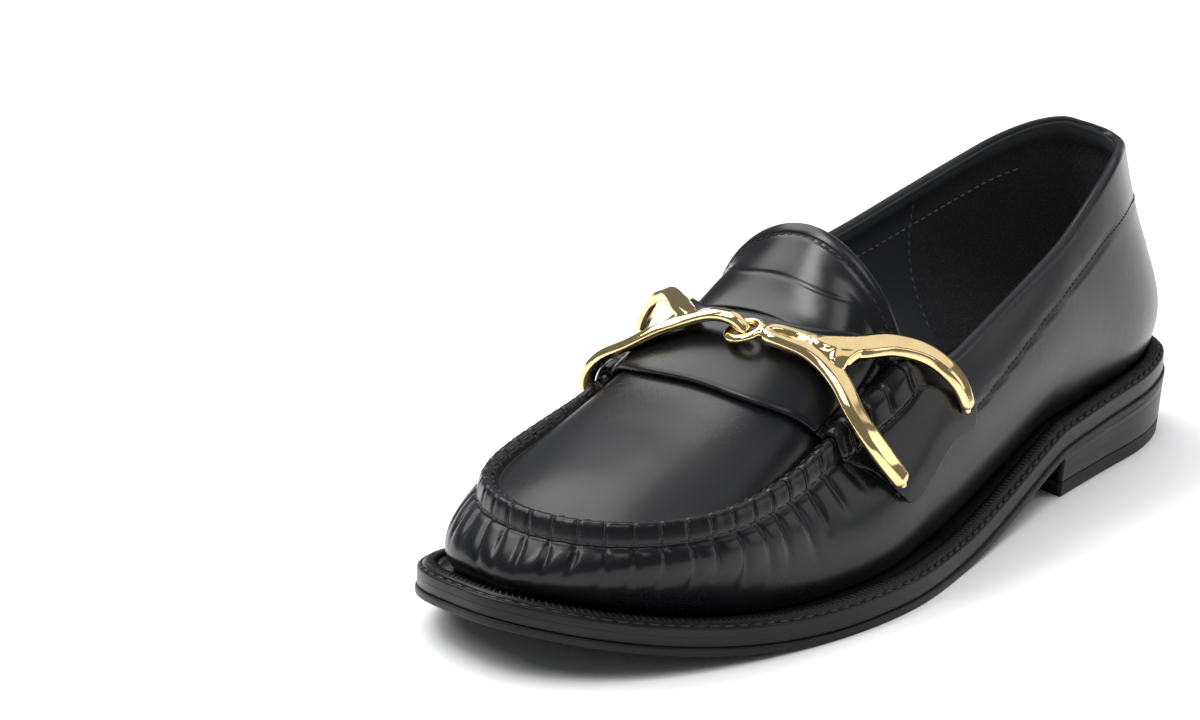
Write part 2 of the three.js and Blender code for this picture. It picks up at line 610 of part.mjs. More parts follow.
// A post from a bar's tip straight in to the strap below it
function postPiece(row, side) {
  const tip = shoePoint(row);
  let best = { distance: Infinity };
  for (const t of steps(60)) {
    const share = mix(...(side > 0 ? postStretch.outer : postStretch.inner), t);
    for (const up of steps(20)) {
      const foot = wallPoint(share, up);
      const distance = foot.distanceTo(tip);
      if (distance < best.distance) best = { distance, foot, normal: wallNormal(share, up) };
    }
  }
  const start = best.foot.addScaledVector(best.normal, strapFit + strapLeather + postGap);
  const span = tip.distanceTo(start);
  const post = new THREE.CylinderGeometry(postRadius, postRadius, span, 10);
  const turn = new THREE.Quaternion().setFromUnitVectors(vec(0, 1, 0), tip.clone().sub(start).normalize());
  const middle = start.lerp(tip, 0.5);
  post.applyQuaternion(turn).translate(middle.x, middle.y, middle.z);
  return post;
}
function toManifold(geometry) {
  const merged = mergeVertices(new THREE.BufferGeometry()
    .setAttribute("position", geometry.getAttribute("position")).setIndex(geometry.index), 0.001);
  return new wasm.Manifold(new wasm.Mesh({
    numProp: 3,
    vertProperties: new Float32Array(merged.getAttribute("position").array),
    triVerts: new Uint32Array(merged.index.array),
  }));
}
function joined(geometries) {
  const mesh = wasm.Manifold.union(geometries.map(toManifold)).getMesh();
  const geometry = new THREE.BufferGeometry();
  geometry.setAttribute("position", new THREE.Float32BufferAttribute(mesh.vertProperties, 3));
  geometry.setIndex(Array.from(mesh.triVerts));
  return geometry;
}

// Meshes and materials
const materials = {
  leather: new THREE.MeshStandardMaterial({ color: 0x141416, roughness: 0.32 }),
  sole: new THREE.MeshStandardMaterial({ color: 0x161616, roughness: 0.45 }),
  rib: new THREE.MeshStandardMaterial({ color: 0x101010, roughness: 0.7 }),
  strip: new THREE.MeshStandardMaterial({ color: 0x121212, roughness: 0.6 }),
  gold: new THREE.MeshStandardMaterial({ color: 0xd9b45e, roughness: 0.12, metalness: 1 }),
};
const shoe = new THREE.Group();
function add(name, geometry, material) {
  const mesh = new THREE.Mesh(geometry, material);
  mesh.name = name;
  shoe.add(mesh);
}

add("upper", upperSolid(), materials.leather);
add("tongue", tongueSolid(), materials.leather);
add("strap", strapSolid(), materials.leather);
add("back_strip", stripSolid(), materials.strip);
add("outsole", plate((share) => inset(share, -outsoleLip), 0, outsoleThickness), materials.sole);
add("midsole", plate((share) => inset(share, 0), midsoleBase, midsoleThickness), materials.sole);
add("welt", weltSolid(), materials.rib);
const insoleEdge = (share) => inset(share, wall("inset", share) * wallPull + leather + 2 * fit);
add("insole", plate(insoleEdge, soleEdge + fit, insoleThickness), materials.leather);
const liftTop = () => topLiftThickness;
const heelFoot = () => topLiftThickness + layerGap;
const heelHead = (x) => soleBottom(x) - heelSeat;
add("heel", heelSolid(heelFoot, heelHead, flare), materials.sole);
add("top_lift", heelSolid(() => 0, liftTop, flare), materials.sole);
const tips = (rows) => rows[rows.length - 1];
add("bar_outer", joined([
  barPiece(OUTER_REAR_ARM), barPiece(OUTER_FRONT_ARM), linkPiece(),
  postPiece(tips(OUTER_REAR_ARM), 1), postPiece(tips(OUTER_FRONT_ARM), 1),
]), materials.gold);
add("bar_inner", joined([
  barPiece(INNER_FRONT_ARM), barPiece(INNER_REAR_ARM),
  postPiece(tips(INNER_FRONT_ARM), -1), postPiece(tips(INNER_REAR_ARM), -1),
]), materials.gold);

// The origin is the middle of the bounding box, on the floor
const middle = new THREE.Box3().setFromObject(shoe).getCenter(vec(0, 0, 0));
shoe.position.set(-middle.x, -middle.y, 0);

export default shoe;
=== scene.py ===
"""A left moccasin loafer in polished black leather, with a gold bar over its strap, in a plain studio."""
import logging
import math
from dataclasses import dataclass
from enum import Enum
from typing import Callable, Optional, Sequence

import bmesh
import bpy
import numpy as np
from mathutils import Matrix, Vector


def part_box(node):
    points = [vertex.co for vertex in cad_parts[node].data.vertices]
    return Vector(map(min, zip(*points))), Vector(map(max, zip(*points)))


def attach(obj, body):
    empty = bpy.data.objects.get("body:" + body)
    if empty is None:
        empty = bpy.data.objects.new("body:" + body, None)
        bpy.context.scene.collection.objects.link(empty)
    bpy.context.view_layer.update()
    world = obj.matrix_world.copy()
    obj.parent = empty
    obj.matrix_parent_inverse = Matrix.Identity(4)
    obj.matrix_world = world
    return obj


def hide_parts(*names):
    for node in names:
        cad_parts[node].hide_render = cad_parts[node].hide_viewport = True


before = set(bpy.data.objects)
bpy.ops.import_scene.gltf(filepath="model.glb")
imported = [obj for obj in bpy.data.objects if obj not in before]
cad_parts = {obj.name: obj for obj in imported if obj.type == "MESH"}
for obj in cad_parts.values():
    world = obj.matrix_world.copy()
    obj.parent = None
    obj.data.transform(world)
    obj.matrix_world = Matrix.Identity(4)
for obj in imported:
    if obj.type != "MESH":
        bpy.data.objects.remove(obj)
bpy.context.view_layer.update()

LOG = logging.getLogger("loafer")
MM = 0.001
BODY = "root"
Array = np.ndarray


class Side(Enum):
    """The outer and the inner side of the foot, as the sign of Y."""

    OUTER = 1
    INNER = -1


class Grain(Enum):
    """What the surface of a leather looks like close up."""

    SMOOTH = "smooth"
    PEBBLED = "pebbled"
    NAPPED = "napped"


def ease(t: Array) -> Array:
    """Goes smoothly from 0 to 1 as t does."""
    held = np.clip(t, 0.0, 1.0)
    return held**2 * (3 - 2 * held)


def blend(a: Array, b: Array, t: Array) -> Array:
    """Goes straight from a to b as t goes from 0 to 1."""
    return a + (b - a) * t


def unit(vectors: Array) -> Array:
    """Scales vectors to length one."""
    return vectors / np.maximum(np.linalg.norm(vectors, axis=-1, keepdims=True), 1e-12)


def groove(distance: Array, width: float) -> Array:
    """A soft trough: 1 at distance 0, and nothing past about two widths."""
    return np.exp(-((distance / width) ** 2))


class Table:
    """Named columns of numbers, read as smooth curves along the first of them."""

    def __init__(self, names: Sequence[str], rows: Sequence[Sequence[float]]) -> None:
        """Keeps one array for each column.

        Args:
            names: The columns' names; the first is the place that the others are read at.
            rows: The rows, in rising order of their place.
        """
        self.columns = {name: np.array([row[k] for row in rows], float) for k, name in enumerate(names)}
        self.places = self.columns[names[0]]

    def at(self, name: str, place: Array) -> Array:
        """Reads a column at some places.

        Args:
            name: The column.
            place: Where, in the first column's unit.

        Returns:
            The column's values there.
        """
        values = self.columns[name]
        index = np.arange(len(values))
        low = np.maximum(index - 1, 0)
        high = np.minimum(index + 1, len(values) - 1)
        slopes = (values[high] - values[low]) / (self.places[high] - self.places[low])
        place = np.asarray(place, float)
        k = np.clip(np.searchsorted(self.places, place) - 1, 0, len(values) - 2)
        span = self.places[k + 1] - self.places[k]
        t = np.clip((place - self.places[k]) / span, 0, 1)
        start = (2 * t**3 - 3 * t**2 + 1) * values[k] + (t**3 - 2 * t**2 + t) * span * slopes[k]
        end = (3 * t**2 - 2 * t**3) * values[k + 1] + (t**3 - t**2) * span * slopes[k + 1]
        return start + end


class ClosedCurve:
    """A smooth closed curve through points, read by its share of the way round."""

    DIVISIONS = 60
    REACH = 0.0006

    def __init__(self, points: Array) -> None:
        """Measures the curve.

        Args:
            points: The points that it passes through, one row each.
        """
        self.points = np.array(points, float)
        self.steps = np.arange(len(points) * self.DIVISIONS + 1) / self.DIVISIONS
        dense = self._at_step(self.steps)
        run = np.r_[0, np.cumsum(np.linalg.norm(np.diff(dense, axis=0), axis=1))]
        self.length = run[-1]
        self.shares = run / self.length

    def _at_step(self, step: Array) -> Array:
        """Points at steps, where each whole number is one of the curve's own points."""
        whole = np.floor(step).astype(int)
        t = (step - whole)[..., None]
        p0, p1, p2, p3 = (self.points[(whole + k) % len(self.points)] for k in (-1, 0, 1, 2))
        slope1 = (p2 - p0) / 2
        slope2 = (p3 - p1) / 2
        square = 3 * (p2 - p1) - 2 * slope1 - slope2
        cube = 2 * (p1 - p2) + slope1 + slope2
        return p1 + slope1 * t + square * t**2 + cube * t**3

    def at(self, share: Array) -> Array:
        """Points at shares of the way round."""
        return self._at_step(np.interp(np.mod(share, 1.0), self.shares, self.steps))

    def out(self, share: Array) -> Array:
        """Level directions square to the curve, pointing out of it."""
        ahead = self.at(share + self.REACH) - self.at(share - self.REACH)
        return unit(np.stack([-ahead[..., 1], ahead[..., 0], 0 * ahead[..., 0]], axis=-1))

    def share_of(self, index: int) -> float:
        """The share at which the curve passes one of its own points."""
        return float(self.shares[index * self.DIVISIONS])


def open_curve(points: Array, count: int) -> Array:
    """Samples a centripetal curve through points, so that it makes no loops where they crowd.

    Args:
        points: The points, one row each; further columns are carried along.
        count: How many samples to take.

    Returns:
        The samples, one row each.
    """
    rows = np.array(points, float)
    rows = np.vstack([2 * rows[0] - rows[1], rows, 2 * rows[-1] - rows[-2]])
    gaps = np.maximum(np.linalg.norm(np.diff(rows[:, :3], axis=0), axis=1) ** 0.5, 1e-6)
    where = np.linspace(0, len(points) - 1, count)
    k = np.minimum(where.astype(int), len(points) - 2)
    t = (where - k)[:, None]
    g0, g1, g2 = (gaps[k + n][:, None] for n in (0, 1, 2))
    p0, p1, p2, p3 = (rows[k + n] for n in (0, 1, 2, 3))
    slope1 = ((p1 - p0) / g0 - (p2 - p0) / (g0 + g1) + (p2 - p1) / g1) * g1
    slope2 = ((p2 - p1) / g1 - (p3 - p1) / (g1 + g2) + (p3 - p2) / g2) * g1
    square = 3 * (p2 - p1) - 2 * slope1 - slope2
    cube = 2 * (p1 - p2) + slope1 + slope2
    return p1 + slope1 * t + square * t**2 + cube * t**3


def smooth_rows(controls: Array, count: int) -> tuple[Array, Array]:
    """Samples each row of control points as one smooth curve.

    Args:
        controls: An array of rows, of points, of coordinates.
        count: Samples for each row.

    Returns:
        The samples, and where each lies among the row's control points.
    """
    places = np.linspace(0, controls.shape[1] - 1, count)
    k = np.minimum(places.astype(int), controls.shape[1] - 2)
    t = (places - k)[None, :, None]
    last = controls.shape[1] - 1
    p0, p1, p2, p3 = (controls[:, np.clip(k + n, 0, last)] for n in (-1, 0, 1, 2))
    slope1 = (p2 - p0) / 2
    slope2 = (p3 - p1) / 2
    square = 3 * (p2 - p1) - 2 * slope1 - slope2
    cube = 2 * (p1 - p2) + slope1 + slope2
    return p1 + slope1 * t + square * t**2 + cube * t**3, places


def grid_normals(grid: Array, closed: bool) -> Array:
    """Normals of a grid of points, from its rows' rise crossed with its way along.

    Args:
        grid: Rows along the shoe, of points that rise from the sole.
        closed: Whether the last row joins the first.

    Returns:
        One unit normal for each point.
    """
    if closed:
        along = np.roll(grid, -1, axis=0) - np.roll(grid, 1, axis=0)
    else:
        along = np.gradient(grid, axis=0)
    return unit(np.cross(np.gradient(grid, axis=1), along))


@dataclass
class Last:
    """The form that every piece of leather is worked out from, in millimetres from the back of the heel."""

    length: float = 290
    ball_width: float = 103.5
    collar_height: float = 64
    instep_height: float = 64
    heel_height: float = 12.6
    heel_wedge: float = 0.06
    heel_length: float = 84
    toe_spring: float = 13.5
    spring_start: float = 205
    waist_start: float = 160
    outsole: float = 2.3
    midsole: float = 2.3
    welt: float = 2.6
    layer_gap: float = 0.3
    fit: float = 0.35
    leather: float = 2
    seam_height: float = 5.6
    seam_drop: float = 3.3
    seam_width: float = 6
    roll_width: float = 9
    roll_drop: float = 4.8
    wall_pull: float = 10
    collar_roll: float = 3.5
    apron_width: float = 0.661 * 103.5
    apron_length: float = 55
    apron_tip: float = 270
    apron_taper: float = 5.5
    throat: float = 181
    throat_corner: float = 0.552
    seam_start: float = 0.5
    seam_full: float = 0.55
    seam_behind_strap: float = 0.679

    OUTLINE = [
        (0, -0.01), (0.014, 0.106), (0.045, 0.203), (0.11, 0.271), (0.207, 0.3), (0.31, 0.333),
        (0.414, 0.386), (0.517, 0.444), (0.614, 0.493), (0.7, 0.488), (0.786, 0.44), (0.862, 0.362),
        (0.928, 0.256), (0.976, 0.126), (1, -0.019), (0.995, -0.164), (0.981, -0.285), (0.953, -0.377),
        (0.91, -0.444), (0.838, -0.488), (0.752, -0.497), (0.662, -0.44), (0.572, -0.353),
        (0.483, -0.29), (0.386, -0.275), (0.29, -0.295), (0.193, -0.314), (0.11, -0.3),
        (0.045, -0.222), (0.014, -0.121),
    ]
    COLLAR_OUTER = [
        (0.0455, -0.01, 0.968), (0.0512, 0.025, 0.963), (0.0625, 0.063, 0.965), (0.086, 0.108, 0.975),
        (0.138, 0.184, 0.999), (0.193, 0.234, 0.952), (0.266, 0.273, 0.839), (0.321, 0.295, 0.8),
        (0.393, 0.312, 0.773), (0.448, 0.327, 0.75), (0.497, 0.343, 0.732),
    ]
    COLLAR_INNER = [
        (0.507, -0.353, 0.885), (0.431, -0.335, 0.878), (0.362, -0.319, 0.867), (0.283, -0.301, 0.867),
        (0.19, -0.276, 0.937), (0.138, -0.245, 0.987), (0.097, -0.195, 1.022), (0.069, -0.143, 1.027),
        (0.0545, -0.095, 1.002), (0.0475, -0.052, 0.983),
    ]
    TOP = Table(("along", "crest", "edge", "round", "lean", "centre"), [
        (0.545, 1.42, 0.835, 0.8, 0.02, -0.012), (0.562, 1.3, 0.81, 0.74, 0.02, -0.014),
        (0.586, 1.159, 0.761, 0.6, 0.025, -0.02), (0.617, 0.991, 0.691, 0.44, 0.03, -0.028),
        (0.666, 0.863, 0.625, 0.42, 0.035, -0.032), (0.714, 0.758, 0.55, 0.45, 0.035, -0.03),
        (0.776, 0.656, 0.484, 0.6, 0.03, -0.025), (0.828, 0.569, 0.436, 0.8, 0.015, -0.022),
        (0.879, 0.469, 0.393, 1, 0, -0.02), (0.931, 0.341, 0.341, 1, 0, -0.02),
        (0.96, 0.27, 0.3, 1, 0, -0.02),
    ])
    WALL = Table(("around", "inset", "low_out", "low_up", "high_out", "high_down"), [
        (0, 0.6, 0.95, 0.3, 0.5, 0.5), (0.065, 0.6, 0.9, 0.3, 0.6, 0.5), (0.15, 0.8, 0.7, 0.3, 0.8, 0.5),
        (0.237, 1, 0.8, 0.35, 0.9, 0.4), (0.315, 0.9, 0.5, 0.35, 0.6, 0.35),
        (0.386, 0.9, 0.4, 0.35, 0.6, 0.4), (0.474, 0.9, 0.45, 0.35, 0.65, 0.35),
        (0.53, 1, 0.55, 0.35, 0.75, 0.35), (0.57, 0.95, 0.5, 0.35, 0.7, 0.35),
        (0.614, 0.9, 0.5, 0.35, 0.65, 0.35), (0.69, 0.9, 0.7, 0.3, 0.7, 0.35),
        (0.77, 0.9, 0.9, 0.35, 0.8, 0.4), (0.85, 0.75, 0.7, 0.3, 0.75, 0.5),
        (0.92, 0.6, 0.85, 0.3, 0.5, 0.5), (1, 0.6, 0.95, 0.3, 0.5, 0.5),
    ])
    RIM_PROFILE = [
        (0.086, 0.286), (0.314, 0.514), (0.629, 0.543), (0.886, 0.371), (1, 0.086), (0.914, -0.257),
    ]
    SEAM_PROFILE = [(0.08, 0.36), (0.2, 0.8), (0.38, 1), (0.68, 0.94), (0.87, 0.74), (1, 0.59)]
    SEAM_TURNS = (0.18, 0.36, 0.54, 0.7, 0.84, 0.95, 1.08, 1.28, 1.5, 1.75, 2)
    TOE = {Side.OUTER: (0.0, 0.474), Side.INNER: (1.0, 0.49)}

    def __post_init__(self) -> None:
        """Draws the two closed curves and finds the throat's corners on them."""
        self.outline = ClosedCurve([(a * self.length, s * self.ball_width, 0) for a, s in self.OUTLINE])
        turns = self.SEAM_TURNS
        seam = [self.seam_point(turn, Side.OUTER) for turn in reversed(turns)]
        seam += [self.seam_point(0, Side.OUTER)]
        seam += [self.seam_point(turn, Side.INNER) for turn in turns]
        outer = [self.collar_point(row) for row in self.COLLAR_OUTER]
        inner = [self.collar_point(row) for row in self.COLLAR_INNER]
        self.rim = ClosedCurve(np.array(outer + seam + inner))
        self.rim_corners = (
            self.rim.share_of(len(outer)),
            self.rim.share_of(len(outer) + len(seam) - 1),
        )
        corner = self.throat_corner * self.length
        self.corners = tuple(self.share_at(self.outline.at, corner, side) for side in Side)
        edge = self.outline.at(np.linspace(0, 1, 2000))
        low, high = (np.array(p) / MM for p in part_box("midsole"))
        self.shift = np.array([low[0] - edge[:, 0].min(), low[1] - edge[:, 1].min(), 0])

    @property
    def midsole_base(self) -> float:
        """Height of the middle layer over the sole's underside."""
        return self.outsole + self.layer_gap

    @property
    def welt_base(self) -> float:
        """Height of the welt over the sole's underside."""
        return self.midsole_base + self.midsole + self.layer_gap

    @property
    def sole_edge(self) -> float:
        """Height of the whole sole edge."""
        return self.welt_base + self.welt

    def bottom(self, x: Array) -> Array:
        """Height of the sole's underside over the floor."""
        spring = self.toe_spring * ((x - self.spring_start) / (self.length - self.spring_start)) ** 2
        t = (self.waist_start - x) / (self.waist_start - self.heel_length)
        waist = self.heel_height * (1.6 * t**2 - 0.6 * t**3)
        heel = self.heel_height + self.heel_wedge * (self.heel_length - x)
        low = np.where(x < self.heel_length, heel, waist)
        return np.where(x > self.spring_start, spring, np.where(x > self.waist_start, 0.0, low))

    def sole_top(self, x: Array) -> Array:
        """Height of the welt's top over the floor."""
        return self.bottom(x) + self.sole_edge

    def inset(self, share: Array, distance: Array) -> Array:
        """Points inside the sole's outline by a distance."""
        return self.outline.at(share) - self.outline.out(share) * np.asarray(distance)[..., None]

    def apron_half(self, x: Array) -> Array:
        """Half the width of the apron at a place along the shoe."""
        start = self.apron_tip - self.apron_length
        ahead = np.clip((x - start) / self.apron_length, 0, 1)
        behind = np.maximum(start - x, 0) / self.apron_length
        return self.apron_width / 2 * np.sqrt(1 - ahead**3) - self.apron_taper * behind**2

    def centre(self, x: Array) -> Array:
        """The apron's middle line."""
        return self.TOP.at("centre", x / self.length) * self.ball_width

    def top_height(self, x: Array, y: Array) -> Array:
        """Height of the apron and the tongue over a place on the floor."""
        off = y - self.centre(x)
        share = np.minimum(1.05, np.abs(off) / np.maximum(4, self.apron_half(x)))
        rounding = self.TOP.at("round", x / self.length)
        edge = self.TOP.at("edge", x / self.length) * self.instep_height
        rise = self.TOP.at("crest", x / self.length) * self.instep_height - edge
        fall = rounding * share**2 + (1 - rounding) * share**8
        lean = self.TOP.at("lean", x / self.length) * off
        return self.sole_top(x) + edge + rise * (1 - fall) - lean

    def on_top(self, x: Array, y: Array) -> Array:
        """Points on the apron's surface."""
        return np.stack(np.broadcast_arrays(x, y, self.top_height(x, y)), axis=-1)

    def top_normal(self, x: Array, y: Array, reach: float = 0.2) -> Array:
        """Normals of the apron's surface."""
        slope_x = (self.top_height(x + reach, y) - self.top_height(x - reach, y)) / (2 * reach)
        slope_y = (self.top_height(x, y + reach) - self.top_height(x, y - reach)) / (2 * reach)
        return unit(np.stack([-slope_x, -slope_y, np.ones_like(slope_x)], axis=-1))

    def seam_blend(self, x: Array) -> Array:
        """0 at the throat's corner, and 1 in front of the strap."""
        return ease((x / self.length - self.throat_corner) / (self.seam_behind_strap - self.throat_corner))

    def seam_point(self, turn: float, side: Side) -> Array:
        """A point of the seam's outer line.

        Args:
            turn: 0 at the toe, 1 where the apron is widest and 2 at the throat's corner.
            side: Which side of the foot.

        Returns:
            The point.
        """
        start = self.apron_tip - self.apron_length
        reach = max(0.0, math.cos(min(1, turn) * math.pi / 2)) ** (2 / 3)
        x = start + self.apron_length * reach - max(0, turn - 1) * (start - self.throat_corner * self.length)
        width = blend(self.roll_width, self.seam_width, self.seam_blend(x))
        drop = blend(self.roll_drop, self.seam_drop, self.seam_blend(x))
        swing = math.sin(min(1, turn) * math.pi / 2)
        half = self.apron_width / 2 * swing if turn < 1 else float(self.apron_half(x))
        inner = self.on_top(x, self.centre(x) + side.value * half)
        y = self.centre(x) + side.value * (half + width * swing)
        return np.array([x + width * reach, float(y), inner[2] - drop])

    def collar_point(self, row: Sequence[float]) -> Array:
        """A point of the collar's edge from its shares."""
        x = row[0] * self.length
        return np.array([x, row[1] * self.ball_width, self.sole_top(x) + row[2] * self.collar_height])

    def share_at(self, curve: Callable[[Array], Array], x: float, side: Side) -> float:
        """The share at which a curve round the shoe reaches a place along it, on one side."""
        low, high = self.TOE[side]
        for _ in range(34):
            middle = (low + high) / 2
            if curve(np.array(middle))[0] < x:
                low = middle
            else:
                high = middle
        return (low + high) / 2

    def rim_share(self, share: Array) -> Array:
        """The rim's share that stands over a share of the sole's outline."""
        keys = (0.0, self.corners[0], self.corners[1], 1.0)
        return np.interp(np.mod(share, 1.0), keys, (0.0, *self.rim_corners, 1.0))

    def rim_point(self, share: Array) -> Array:
        """Points of the wall's upper edge."""
        return self.rim.at(self.rim_share(share))

    def wall_point(self, share: Array, up: Array) -> Array:
        """Points of the wall's outer face.

        Args:
            share: Shares of the way round the sole.
            up: 0 at the sole and 1 at the rim.

        Returns:
            The points, over both arrays broadcast together.
        """
        share, up = np.broadcast_arrays(np.asarray(share, float), np.asarray(up, float))
        place = np.mod(share, 1.0)
        out = self.outline.out(share)
        foot = self.inset(share, self.WALL.at("inset", place) * self.wall_pull)
        foot[..., 2] = self.sole_top(foot[..., 0]) + self.fit
        head = self.rim_point(share)
        rise = head[..., 2] - foot[..., 2]
        low = foot + out * (self.WALL.at("low_out", place) * self.wall_pull)[..., None]
        low[..., 2] += rise * self.WALL.at("low_up", place)
        rim_out = self.rim.out(self.rim_share(share))
        high = head + rim_out * (self.WALL.at("high_out", place) * self.wall_pull)[..., None]
        high[..., 2] -= rise * self.WALL.at("high_down", place)
        t = up[..., None]
        return foot * (1 - t) ** 3 + 3 * low * t * (1 - t) ** 2 + 3 * high * t**2 * (1 - t) + head * t**3

    def wall_normal(self, share: Array, up: Array) -> Array:
        """Outward normals of the wall's outer face."""
        share, up = np.broadcast_arrays(np.asarray(share, float), np.asarray(up, float))
        along = self.wall_point(share + 0.002, up) - self.wall_point(share - 0.002, up)
        high = self.wall_point(share, np.minimum(1, up + 0.01))
        rise = high - self.wall_point(share, np.maximum(0, up - 0.01))
        return unit(np.cross(rise, along))

    def cap_points(self, share: Array) -> Array:
        """Points over the seam, or over the collar's roll behind the throat.

        Args:
            share: Shares of the way round the sole.

        Returns:
            For each share, the rim's own point and six more across the cap.
        """
        head = self.rim_point(share)
        out = self.rim.out(self.rim_share(share))
        seam = ease((head[:, 0] / self.length - self.seam_start) / (self.seam_full - self.seam_start))
        width = blend(self.roll_width, self.seam_width, self.seam_blend(head[:, 0]))
        inner = head - out * width[:, None]
        lift = self.top_height(inner[:, 0], inner[:, 1]) - head[:, 2]
        points = [head]
        last = len(self.SEAM_PROFILE) - 1
        for k, (across, up) in enumerate(self.SEAM_PROFILE):
            roll_in, roll_up = (value * self.collar_roll for value in self.RIM_PROFILE[k])
            rise = lift if k == last else np.maximum(up * self.seam_height, across * lift)
            point = head - out * blend(roll_in, across * width, seam)[:, None]
            point[:, 2] += blend(roll_up, rise, seam)
            points.append(point)
        return np.stack(points, axis=1)

    def shoe_point(self, along: float, side: float, up: float) -> Array:
        """A point from shares of the length, the ball width and the instep height."""
        x = along * self.length
        return np.array([x, side * self.ball_width, float(self.sole_top(x)) + up * self.instep_height])


LAST = Last()


class Mesher:
    """Turns grids of points in the last's millimetres into Blender objects in metres."""

    @staticmethod
    def place(points: Array) -> Array:
        """Moves points from the last's frame to the model's, in metres."""
        return (np.asarray(points, float) + LAST.shift) * MM

    @classmethod
    def make(cls, name: str, points: Array, faces: Array, slots: Optional[Array] = None) -> bpy.types.Object:
        """Makes a closed, smooth-shaded object that faces outwards.

        Args:
            name: The object's name.
            points: Its points in the last's frame.
            faces: Indices of the corners of its faces.
            slots: The material slot of each face, where it has several.

        Returns:
            The linked object.
        """
        mesh = bpy.data.meshes.new(name)
        mesh.from_pydata(cls.place(points).tolist(), [], faces.tolist())
        if slots is not None:
            mesh.polygons.foreach_set("material_index", slots.astype(np.int32))
        work = bmesh.new()
        work.from_mesh(mesh)
        bmesh.ops.remove_doubles(work, verts=work.verts, dist=2e-6)
        if work.calc_volume(signed=True) < 0:
            bmesh.ops.reverse_faces(work, faces=work.faces)
        work.to_mesh(mesh)
        work.free()
        mesh.polygons.foreach_set("use_smooth", [True] * len(mesh.polygons))
        thing = bpy.data.objects.new(name, mesh)
        bpy.context.scene.collection.objects.link(thing)
        return thing

    @staticmethod
    def quads(rows: int, columns: int, closed_rows: bool, closed_columns: bool, start: int = 0) -> Array:
        """Corner indices of the faces of a grid that is numbered row by row."""
        i = np.arange(rows if closed_rows else rows - 1)[:, None]
        j = np.arange(columns if closed_columns else columns - 1)[None, :]
        a = i * columns + j
        b = ((i + 1) % rows) * columns + j
        c = ((i + 1) % rows) * columns + (j + 1) % columns
        d = i * columns + (j + 1) % columns
        return np.stack([a, b, c, d], axis=-1).reshape(-1, 4) + start

    @classmethod
    def ring(cls, name: str, grid: Array, slots: Optional[Array] = None) -> bpy.types.Object:
        """A closed body from a grid that joins up both ways."""
        rows, columns = grid.shape[:2]
        return cls.make(name, grid.reshape(-1, 3), cls.quads(rows, columns, True, True), slots)

    @classmethod
    def slab(
        cls, name: str, upper: Array, lower: Array, profile: Sequence[tuple[float, float]],
        rims: Optional[tuple[Array, Array]] = None,
    ) -> bpy.types.Object:
        """A slab between two grids, with a shaped edge.

        Args:
            name: The object's name.
            upper: The upper face's grid.
            lower: The lower face's grid, of the same size.
            profile: Rows of the edge between them: share of the way down, and millimetres outwards.
            rims: Outward directions for each row at its first and its last column, where they are known.

        Returns:
            The object.
        """
        rows, columns = upper.shape[:2]
        loop = [(0, j) for j in range(columns)]
        loop += [(i, columns - 1) for i in range(1, rows)]
        loop += [(rows - 1, j) for j in range(columns - 2, -1, -1)]
        loop += [(i, 0) for i in range(rows - 2, 0, -1)]
        edge = np.array(loop)
        inner = np.stack([np.clip(edge[:, 0], 1, rows - 2), np.clip(edge[:, 1], 1, columns - 2)], axis=1)
        high = upper[edge[:, 0], edge[:, 1]]
        low = lower[edge[:, 0], edge[:, 1]]
        away = unit(high - upper[inner[:, 0], inner[:, 1]])
        if rims is not None:
            spans = np.linalg.norm(upper[:, 0] - upper[:, -1], axis=1)
            for k, (i, j) in enumerate(edge):
                if j in (0, columns - 1) or spans[i] < 0.01:
                    away[k] = rims[0 if j < columns - 1 else 1][i]
        points = [upper.reshape(-1, 3), lower.reshape(-1, 3)]
        points += [high * (1 - t) + low * t + away * out for t, out in profile]
        size = rows * columns
        numbers = edge[:, 0] * columns + edge[:, 1]
        rings = [numbers]
        rings += [2 * size + k * len(edge) + np.arange(len(edge)) for k in range(len(profile))]
        rings += [size + numbers]
        faces = [cls.quads(rows, columns, False, False)]
        faces += [cls.quads(rows, columns, False, False, size)[:, ::-1]]
        for a, b in zip(rings, rings[1:]):
            faces.append(np.stack([a, b, np.roll(b, -1), np.roll(a, -1)], axis=-1))
        joined = np.vstack(faces)
        thing = cls.make(name, np.vstack(points), joined)
        work = bmesh.new()
        work.from_mesh(thing.data)
        bmesh.ops.recalc_face_normals(work, faces=work.faces)
        work.to_mesh(thing.data)
        work.free()
        return thing


def hand_in(thing: bpy.types.Object, slot: str, *nodes: str) -> None:
    """Rides a finished piece on the shoe, logs its material slot and hides the solids that it stands for.

    Args:
        thing: The piece.
        slot: The material slot that is logged for it.
        nodes: The solids that it replaces.
    """
    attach(thing, BODY)
    if nodes:
        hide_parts(*nodes)
    LOG.info("%s: %d faces, %s", thing.name, len(thing.data.polygons), slot)


